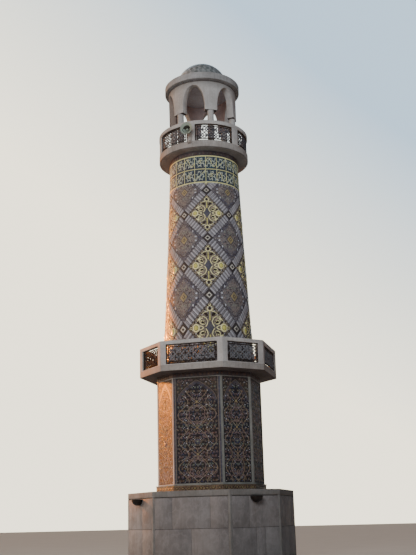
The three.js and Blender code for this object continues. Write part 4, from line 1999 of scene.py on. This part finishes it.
@dataclass
class UpperBalcony:
    """The round balcony: slab, posts with a ring rail, and six curved grilles."""

    wall: float = 0.15
    lintel: float = 16.06
    post_angle: float = radians(9.5)
    post_steps: int = 6
    groove: float = 0.07
    edge: float = 0.012
    setback: float = 0.052
    cell: float = 0.27
    bar: float = 0.038
    longest: float = 0.11

    def build(self) -> None:
        """Makes every piece of the balcony."""
        low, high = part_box("upper_balcony_slab")
        radius, edge = high.x, self.edge
        slab = [(0.0, low.z), *drip(radius - self.groove, low.z), (radius - edge, low.z),
                (radius, low.z + edge), (radius, high.z), (0.0, high.z)]
        # The slab's underside takes the darker coat: painted shade.
        keep("upper_slab", with_shaded_underside(spun(slab)), [Paint.SLAB_COAT, Paint.SOFFIT],
             "render_coat", "upper_balcony_slab")

        foot, top = (corner.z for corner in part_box("upper_parapet"))
        inner = radius - self.wall
        rail = [(inner, self.lintel), (radius, self.lintel), (radius, top - edge),
                (radius - edge, top), (inner + edge, top), (inner, top - edge)]
        face, head = radius - 0.0004, self.lintel + 0.002
        post = [(inner, foot), (face, foot), (face, head), (inner, head)]
        parts = [ringed(rail)]
        for bay in range(BAYS):
            start = bay * BAY_ANGLE - self.post_angle / 2
            block = spun([*post, post[0]], self.post_steps, self.post_angle, start)
            bmesh.ops.holes_fill(block, edges=block.edges)
            bevel(facing_out(block), 0.006)
            parts.append(block)
        keep("upper_railing", merged(parts), [Paint.COAT], "render_coat", "upper_parapet")

        reach = radius - self.setback
        width = (BAY_ANGLE - self.post_angle) * reach - 0.004
        work = GrilleWork(width, self.lintel - foot - 0.002, Paint.UPPER_OPENWORK, self.bar)
        drawing = self.curved(work.drawing(self.cell).bent())
        for bay in range(BAYS):
            wall = RoundWall(
                lambda height: reach, reach, (self.lintel + foot) / 2, (bay + 0.5) * BAY_ANGLE)
            bm, paints = drawing.laid(wall, Section.BAR)
            keep(f"upper_openwork_{bay + 1}", bm, paints, "dark_iron", f"upper_grille_{bay + 1}")

    def curved(self, pattern: Pattern) -> Pattern:
        """Cuts the long frame tiles into short ones so that they follow the curve.

        Args:
            pattern: The drawing.

        Returns:
            The refined drawing.
        """
        refined = Pattern()
        refined.strips = pattern.strips
        for tile in pattern.tiles:
            xs, zs = ([point[axis] for point in tile.points] for axis in (0, 1))
            span = max(xs) - min(xs)
            if len(tile.points) != 4 or span < self.longest:
                refined.tiles.append(tile)
                continue
            low, high = min(zs), max(zs)
            cuts = spread(min(xs), max(xs), math.ceil(span / self.longest))
            for left, right in zip(cuts, cuts[1:]):
                refined.rectangle(left, right, low, high, tile.paint, tile.rise, 0.0, tile.sink)
        return refined


@dataclass
class Lantern:
    """The open lantern: six columns under a ring wall that six arches cut through."""

    springing: float = 17.05
    crown: float = 17.944
    half_angle: float = radians(19.25)
    wall: float = 0.27
    # Height of the outer wall's top band, which takes painted shadow from the roof's overhang.
    neck: float = 0.055
    column: float = 0.125
    arch_steps: int = 20
    block_steps: int = 6

    def build(self) -> None:
        """Makes the arcade and its columns."""
        keep("lantern_wall", self.arcade(),
             [Paint.COAT, Paint.INNER_COAT, Paint.LOW_SOFFIT, Paint.STAINED_COAT], "render_coat",
             "lantern_arcade")
        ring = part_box("lantern_arcade")[1].x - self.wall / 2
        for bay in range(BAYS):
            low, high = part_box(f"lantern_column_{bay + 1}")
            profile = [(0.0, low.z), (self.column - 0.004, low.z), (self.column, low.z + 0.006),
                       (self.column, high.z - 0.006), (self.column - 0.004, high.z), (0.0, high.z)]
            bm = spun(profile, 40)
            bmesh.ops.translate(bm, verts=bm.verts, vec=polar((bay + 0.5) * BAY_ANGLE, ring))
            keep(f"lantern_pillar_{bay + 1}", bm, [Paint.COAT], "render_coat",
                 f"lantern_column_{bay + 1}")

    def arcade(self) -> BMesh:
        """Makes the ring wall: the outside of one half bay, mirrored, repeated and thickened.

        Returns:
            The wall.
        """
        low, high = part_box("lantern_arcade")
        radius, neck = high.x, high.z - self.neck
        half_chord = math.tan(self.half_angle)
        arch = [(math.atan(half_chord * cos(angle)),
                 self.springing + (self.crown - self.springing) * sin(angle))
                for angle in spread(0.0, pi / 2, self.arch_steps)]
        jamb = arch[0][0]
        lines = [[(azimuth, (foot, neck, high.z)) for azimuth, foot in reversed(arch)],
                 [(azimuth, (low.z, self.springing, neck, high.z))
                  for azimuth in spread(jamb, BAY_ANGLE / 2, self.block_steps)]]
        bm = bmesh.new()
        for line in lines:
            columns = [[bm.verts.new(polar(azimuth, radius, level)) for level in levels]
                       for azimuth, levels in line]
            for first, second in zip(columns, columns[1:]):
                for corners in zip(first, second, second[1:], first[1:]):
                    bm.faces.new(corners)
        bmesh.ops.mirror(bm, geom=everything(bm), axis="X", merge_dist=1e-4)
        bmesh.ops.spin(
            bm, geom=everything(bm), cent=(0, 0, 0), axis=(0, 0, 1),
            angle=tau, steps=BAYS, use_merge=True, use_duplicate=True)
        bmesh.ops.remove_doubles(bm, verts=bm.verts, dist=1e-4)
        made = bmesh.ops.extrude_face_region(bm, geom=bm.faces[:], use_keep_orig=True)["geom"]
        share = (radius - self.wall) / radius
        bmesh.ops.scale(bm, verts=fresh(made, BMVert), vec=(share, share, 1.0))
        # Inner faces take painted light. The outer wall's top band and the blocks' undersides take
        # painted shade, as do the faces on the left side that do not face out.
        for face in facing_out(bm).faces:
            centre = face.calc_center_median()
            facing = face.normal.dot(Vector((centre.x, centre.y, 0.0)).normalized())
            under = face.normal.z < -0.9 and centre.z < low.z + 0.01
            if facing < -0.7:
                face.material_index = 1
            elif facing > 0.7 and centre.z > neck or under:
                face.material_index = 2
            elif facing < 0.7 and centre.x < -0.8 * radius:
                face.material_index = 3
        bevel(bm, 0.008, 2, 40.0)
        return bm


@dataclass
class Roof:
    """The flat roof slab and the tiled dome."""

    around: int = 60
    courses: int = 14
    joint: float = 0.005
    edge: float = 0.02
    groove: float = 0.06
    bed: float = 0.006

    def build(self) -> None:
        """Makes the slab and the dome."""
        low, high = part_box("roof_slab")
        radius, edge = high.x, self.edge
        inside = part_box("lantern_arcade")[1].x
        slab = [(0.0, low.z), (inside, low.z), *drip(radius - self.groove, low.z),
                (radius - edge, low.z), (radius, low.z + edge), (radius, high.z - edge),
                (radius - edge, high.z), (0.0, high.z)]
        # Under the roof: painted shade outside the lantern wall, painted light on the ceiling
        # inside it.
        plate = with_shaded_underside(spun(slab))
        for face in plate.faces:
            if face.material_index and face.calc_center_median().xy.length < inside:
                face.material_index = 2
        keep("roof_plate", plate, [Paint.ROOF_COAT, Paint.SOFFIT, Paint.ROOF_SOFFIT], "render_coat",
             "roof_slab")

        low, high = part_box("dome")
        radius, centre = high.x, high.z - high.x
        body = radius - self.bed
        lowest = math.asin((low.z - centre) / body)
        curve = [(body * cos(lift), centre + body * sin(lift))
                 for lift in spread(lowest, pi / 2, 28)[:-1]]
        shell = spun([(0.0, low.z), *curve, (0.0, centre + body)], 96)
        keep("dome_shell", shell, [Paint.GROUT], "dome_tile", "dome")
        keep("dome_tiles", self.tiles(radius, centre, lowest + 0.006), [Paint.DOME], "dome_tile")

    def tiles(self, radius: float, centre: float, lowest: float) -> BMesh:
        """Makes the courses of tiles, each a little pillow, fewer round the top.

        Args:
            radius: The dome's radius.
            centre: Height of its centre.
            lowest: The angle over the centre where the tiles begin.

        Returns:
            The tiles.
        """
        dice = random.Random(DOME_SEED)
        bm = bmesh.new()
        tint = bm.faces.layers.float.new("tint")
        course_angle = (pi / 2 - lowest) / self.courses
        under = radius - 0.01
        gap_up = self.joint / 2 / radius
        faces = []
        for course in range(self.courses - 1):
            low = lowest + course * course_angle
            high = low + course_angle
            around = cos((low + high) / 2)
            gap = self.joint / 2 / (radius * around)
            count = max(6, round(self.around * around))
            for tile in range(count):
                left = (tile + 0.5 * (course % 2)) * tau / count + gap
                right = (tile + 1 + 0.5 * (course % 2)) * tau / count - gap
                spots = ((left, low + gap_up), (right, low + gap_up),
                         (right, high - gap_up), (left, high - gap_up))
                face = bm.faces.new([
                    bm.verts.new(polar(azimuth, under * cos(lift), centre + under * sin(lift)))
                    for azimuth, lift in spots])
                checker = 0.55 if (tile + course) % 2 else -0.55
                face[tint] = checker + dice.uniform(-0.45, 0.45)
                faces.append(face)
        cap = bmesh.ops.create_circle(
            bm, cap_ends=True, radius=radius * sin(course_angle) - 0.004, segments=16,
            matrix=Matrix.Translation((0, 0, centre + under * cos(course_angle * 0.6))))
        faces += list({face for vert in cap["verts"] for face in vert.link_faces})
        made = bmesh.ops.extrude_face_region(bm, geom=faces, use_keep_orig=True)["geom"]
        tops = fresh(made, BMFace)
        middle = Vector((0, 0, centre))
        self.lift(fresh(made, BMVert), middle, 0.009)
        bmesh.ops.inset_individual(bm, faces=tops, thickness=0.008, depth=0.0)
        self.lift(corners_of(tops), middle, 0.001)
        return facing_out(bm)

    def lift(self, verts: Iterable[BMVert], middle: Vector, height: float) -> None:
        """Moves vertices away from the dome's centre."""
        for vert in verts:
            vert.co += (vert.co - middle).normalized() * height


@dataclass
class Loudspeaker:
    """The horn loudspeaker on its bent strap yoke."""

    azimuth: float = radians(-3.75)
    aside: float = 0.062
    mouth: float = 2.15
    height: float = 15.74
    radius: float = 0.238
    depth: float = 0.235
    neck: float = 0.048
    flaring: float = 2.2
    lip: float = 0.008
    driver: float = 0.075
    driver_length: float = 0.12
    throat: float = 0.16
    steps: int = 16

    def flare(self, share: float) -> float:
        """Gives the bell's radius at a share of its depth."""
        growth = (math.exp(self.flaring * share) - 1) / (math.exp(self.flaring) - 1)
        return self.neck + (self.radius - self.neck) * growth

    def build(self) -> None:
        """Makes the horn, with painted shade on the faces behind its lip that look down, and the
        yoke.
        """
        radius, lip, driver = self.radius, self.lip, self.driver
        shares = spread(0.0, 1.0, self.steps)
        outside = [(self.flare(share), self.depth * (share - 1)) for share in shares[1:-1]]
        rim = [(radius, -lip), (radius, 0.0), (radius - lip, 0.002), (radius - 2 * lip, -0.006)]
        inside = [(self.flare(1 - share) - 0.007, -self.depth * share - 0.006)
                  for share in shares[1:-1]]
        back = -self.depth - self.driver_length
        body = [(0.0, back), (driver - 0.016, back), (driver - 0.004, back + 0.006),
                (driver, back + 0.018)]
        neck = [(r, z - self.depth) for r, z in (
            (driver, -0.03), (driver + 0.004, -0.026), (driver + 0.004, -0.016),
            (driver - 0.01, -0.01), (0.056, -0.002))]
        bottom = [(0.04, 0.012 - self.depth), (0.0, 0.012 - self.depth)]
        horn = spun([*body, *neck, *outside, *rim, *inside, *bottom], 64)
        bullet = spun([(r, z - self.depth) for r, z in (
            (0.0, 0.0), (0.03, 0.0), (0.048, 0.095), (0.044, 0.11), (0.028, 0.12),
            (0.0, 0.124))], 40)
        place = (Matrix.Rotation(self.azimuth, 4, "Z")
                 @ Matrix.Translation((self.aside, -self.mouth, self.height))
                 @ Matrix.Rotation(pi / 2, 4, "X"))
        for face in self.shaded_faces(horn):
            face.material_index = 1
        for bm in (horn, bullet):
            bmesh.ops.transform(bm, matrix=place, verts=bm.verts)
        keep("horn_bell", horn, [Paint.HORN, Paint.THROAT], "horn_metal", "speaker_horn")
        keep("horn_bullet", bullet, [Paint.HORN], "horn_metal")
        keep("horn_yoke", softened("speaker_yoke", 0.0015), [Paint.BRACKET], "dark_iron",
             "speaker_yoke")

    def shaded_faces(self, horn: BMesh) -> list[BMFace]:
        """Finds the bell's faces behind its lip that look down once the horn hangs.

        Args:
            horn: The horn's mesh, its mouth still looking up.

        Returns:
            The faces that take the painted shade.
        """
        downward = polar(self.azimuth, 1.0)
        return [face for face in horn.faces if face.normal.dot(downward) > 0.05
                and self.throat * self.depth < -face.calc_center_median().z < self.depth]


@dataclass(frozen=True)
class Lamp:
    """A light that looks at the tower's axis; its azimuth is in degrees."""

    name: str
    kind: str
    energy: float
    colour: Shade
    azimuth: float
    distance: float
    height: float
    target: float
    settings: dict[str, float]
    glossy: bool = False

    def hang(self) -> None:
        """Makes the light and turns it to its target."""
        data = bpy.data.lights.new(self.name, self.kind)
        data.energy = self.energy
        data.color = self.colour
        for key, value in self.settings.items():
            setattr(data, key, value)
        light = bpy.data.objects.new(self.name, data)
        place = polar(radians(self.azimuth), self.distance, self.height)
        aim = (Vector((0, 0, self.target)) - place).to_track_quat("-Z", "Y")
        light.matrix_world = Matrix.Translation(place) @ aim.to_matrix().to_4x4()
        light.visible_glossy = self.glossy
        bpy.context.scene.collection.objects.link(light)


LAMPS = (
    Lamp("key", "SPOT", 84000.0, (1.0, 0.27, 0.02), -119.0, 30.0, 12.8, 8.5, {
        "spot_size": radians(29.0), "spot_blend": 0.5, "shadow_soft_size": 0.8}, glossy=True),
    Lamp("fill", "AREA", 3850.0, (0.89, 0.97, 1.0), 3.0, 26.0, 15.0, 9.0, {"size": 12.0}),
    Lamp("low_fill", "SPOT", 34000.0, (1.0, 0.97, 0.92), -88.0, 22.0, 5.0, 0.9, {
        "spot_size": radians(13.5), "spot_blend": 1.0, "shadow_soft_size": 2.0}),
    Lamp("upper_fill", "SPOT", 5400.0, (0.86, 0.95, 1.0), 62.0, 26.0, 24.0, 13.5, {
        "spot_size": radians(30.0), "spot_blend": 1.0, "shadow_soft_size": 4.0}))


@dataclass
class Studio:
    """The camera, the lights and the pale floor."""

    distance: float = 32.0
    azimuth: float = radians(15.14)
    eye: float = 1.55
    pitch: float = radians(15.54)
    roll: float = radians(1.48)
    yaw: float = radians(-0.09)
    focal_pixels: float = 866.64
    frame_pixels: int = 555
    sensor: float = 36.0
    floor: float = 120.0

    def build(self) -> None:
        """Makes the camera, the surroundings, the lights and the floor."""
        self.build_camera()
        self.build_world()
        for lamp in LAMPS:
            lamp.hang()
        self.build_floor()

    def build_camera(self) -> None:
        """Places the camera where the photographer stood."""
        data = bpy.data.cameras.new("camera")
        data.sensor_width = self.sensor
        data.lens = self.focal_pixels / self.frame_pixels * self.sensor
        data.clip_end = 500.0
        back = polar(self.azimuth, 1.0)
        level = Matrix.Rotation(self.yaw, 3, "Z") @ -back
        right = level.cross(Vector((0, 0, 1))).normalized()
        ahead = level * cos(self.pitch) + Vector((0, 0, sin(self.pitch)))
        above = right.cross(ahead).normalized()
        tilted_right = right * cos(self.roll) - above * sin(self.roll)
        tilted_above = right * sin(self.roll) + above * cos(self.roll)
        rotation = Matrix((tilted_right, tilted_above, -ahead)).transposed().to_4x4()
        place = back * self.distance + Vector((0, 0, self.eye))
        camera = bpy.data.objects.new("camera", data)
        bpy.context.scene.collection.objects.link(camera)
        camera.matrix_world = Matrix.Translation(place) @ rotation
        bpy.context.scene.camera = camera

    def build_world(self) -> None:
        """Makes plain soft surroundings, bright behind the tower and dim on the other sides."""
        graph = Graph(bpy.data.worlds.new("studio"), "Generated")
        across, depth, height = (graph.axis(name) for name in "XYZ")
        behind = (depth * 0.707 - across * 0.707 + height * 0.25).between(0.63, 0.73)
        cool = (across + depth * 0.27 + height * 1.4).between(0.33, 0.8)
        bright = graph.mix(cool, (255, 246, 220), (150, 172, 190))
        sunset = (0.0 - across).between(0.5, 0.66)
        bright = graph.mix(sunset, bright, (226, 160, 102))
        colour = graph.mix(behind, (46, 48, 54), bright)
        glow = (0.0 - across * 0.985 - depth * 0.17).between(0.62, 0.88)
        colour = graph.mix(glow, colour, (206, 166, 130))
        shader = graph.node("ShaderNodeBackground", None, {"Color": colour, "Strength": 2.6})
        graph.end("ShaderNodeOutputWorld", shader)
        bpy.context.scene.world = graph.owner

    def build_floor(self) -> None:
        """Makes the plain pale floor."""
        bm = bmesh.new()
        bmesh.ops.create_grid(bm, x_segments=4, y_segments=4, size=self.floor)
        mesh = taken(bm, "floor")
        graph = Graph(bpy.data.materials.new("floor_paint"))
        shade = graph.noise(0.5, 2.0).between(0.2, 0.8)
        graph.close(graph.mix(shade, (192, 190, 186), (200, 198, 194)), 0.9)
        mesh.materials.append(graph.owner)
        floor = bpy.data.objects.new("floor", mesh)
        bpy.context.scene.collection.objects.link(floor)


def main() -> None:
    """Builds the tower from the ground up, then the studio."""
    logging.basicConfig(level=logging.INFO, format="%(message)s")
    shaft = RoundShaft()
    for assembly in (Plinth(), BaseBand(), LowerShaft(), LowerBalcony(), shaft, OrnamentBand(shaft),
                     UpperBalcony(), Lantern(), Roof(), Loudspeaker(), Studio()):
        assembly.build()


if __name__ == "__main__":
    main()
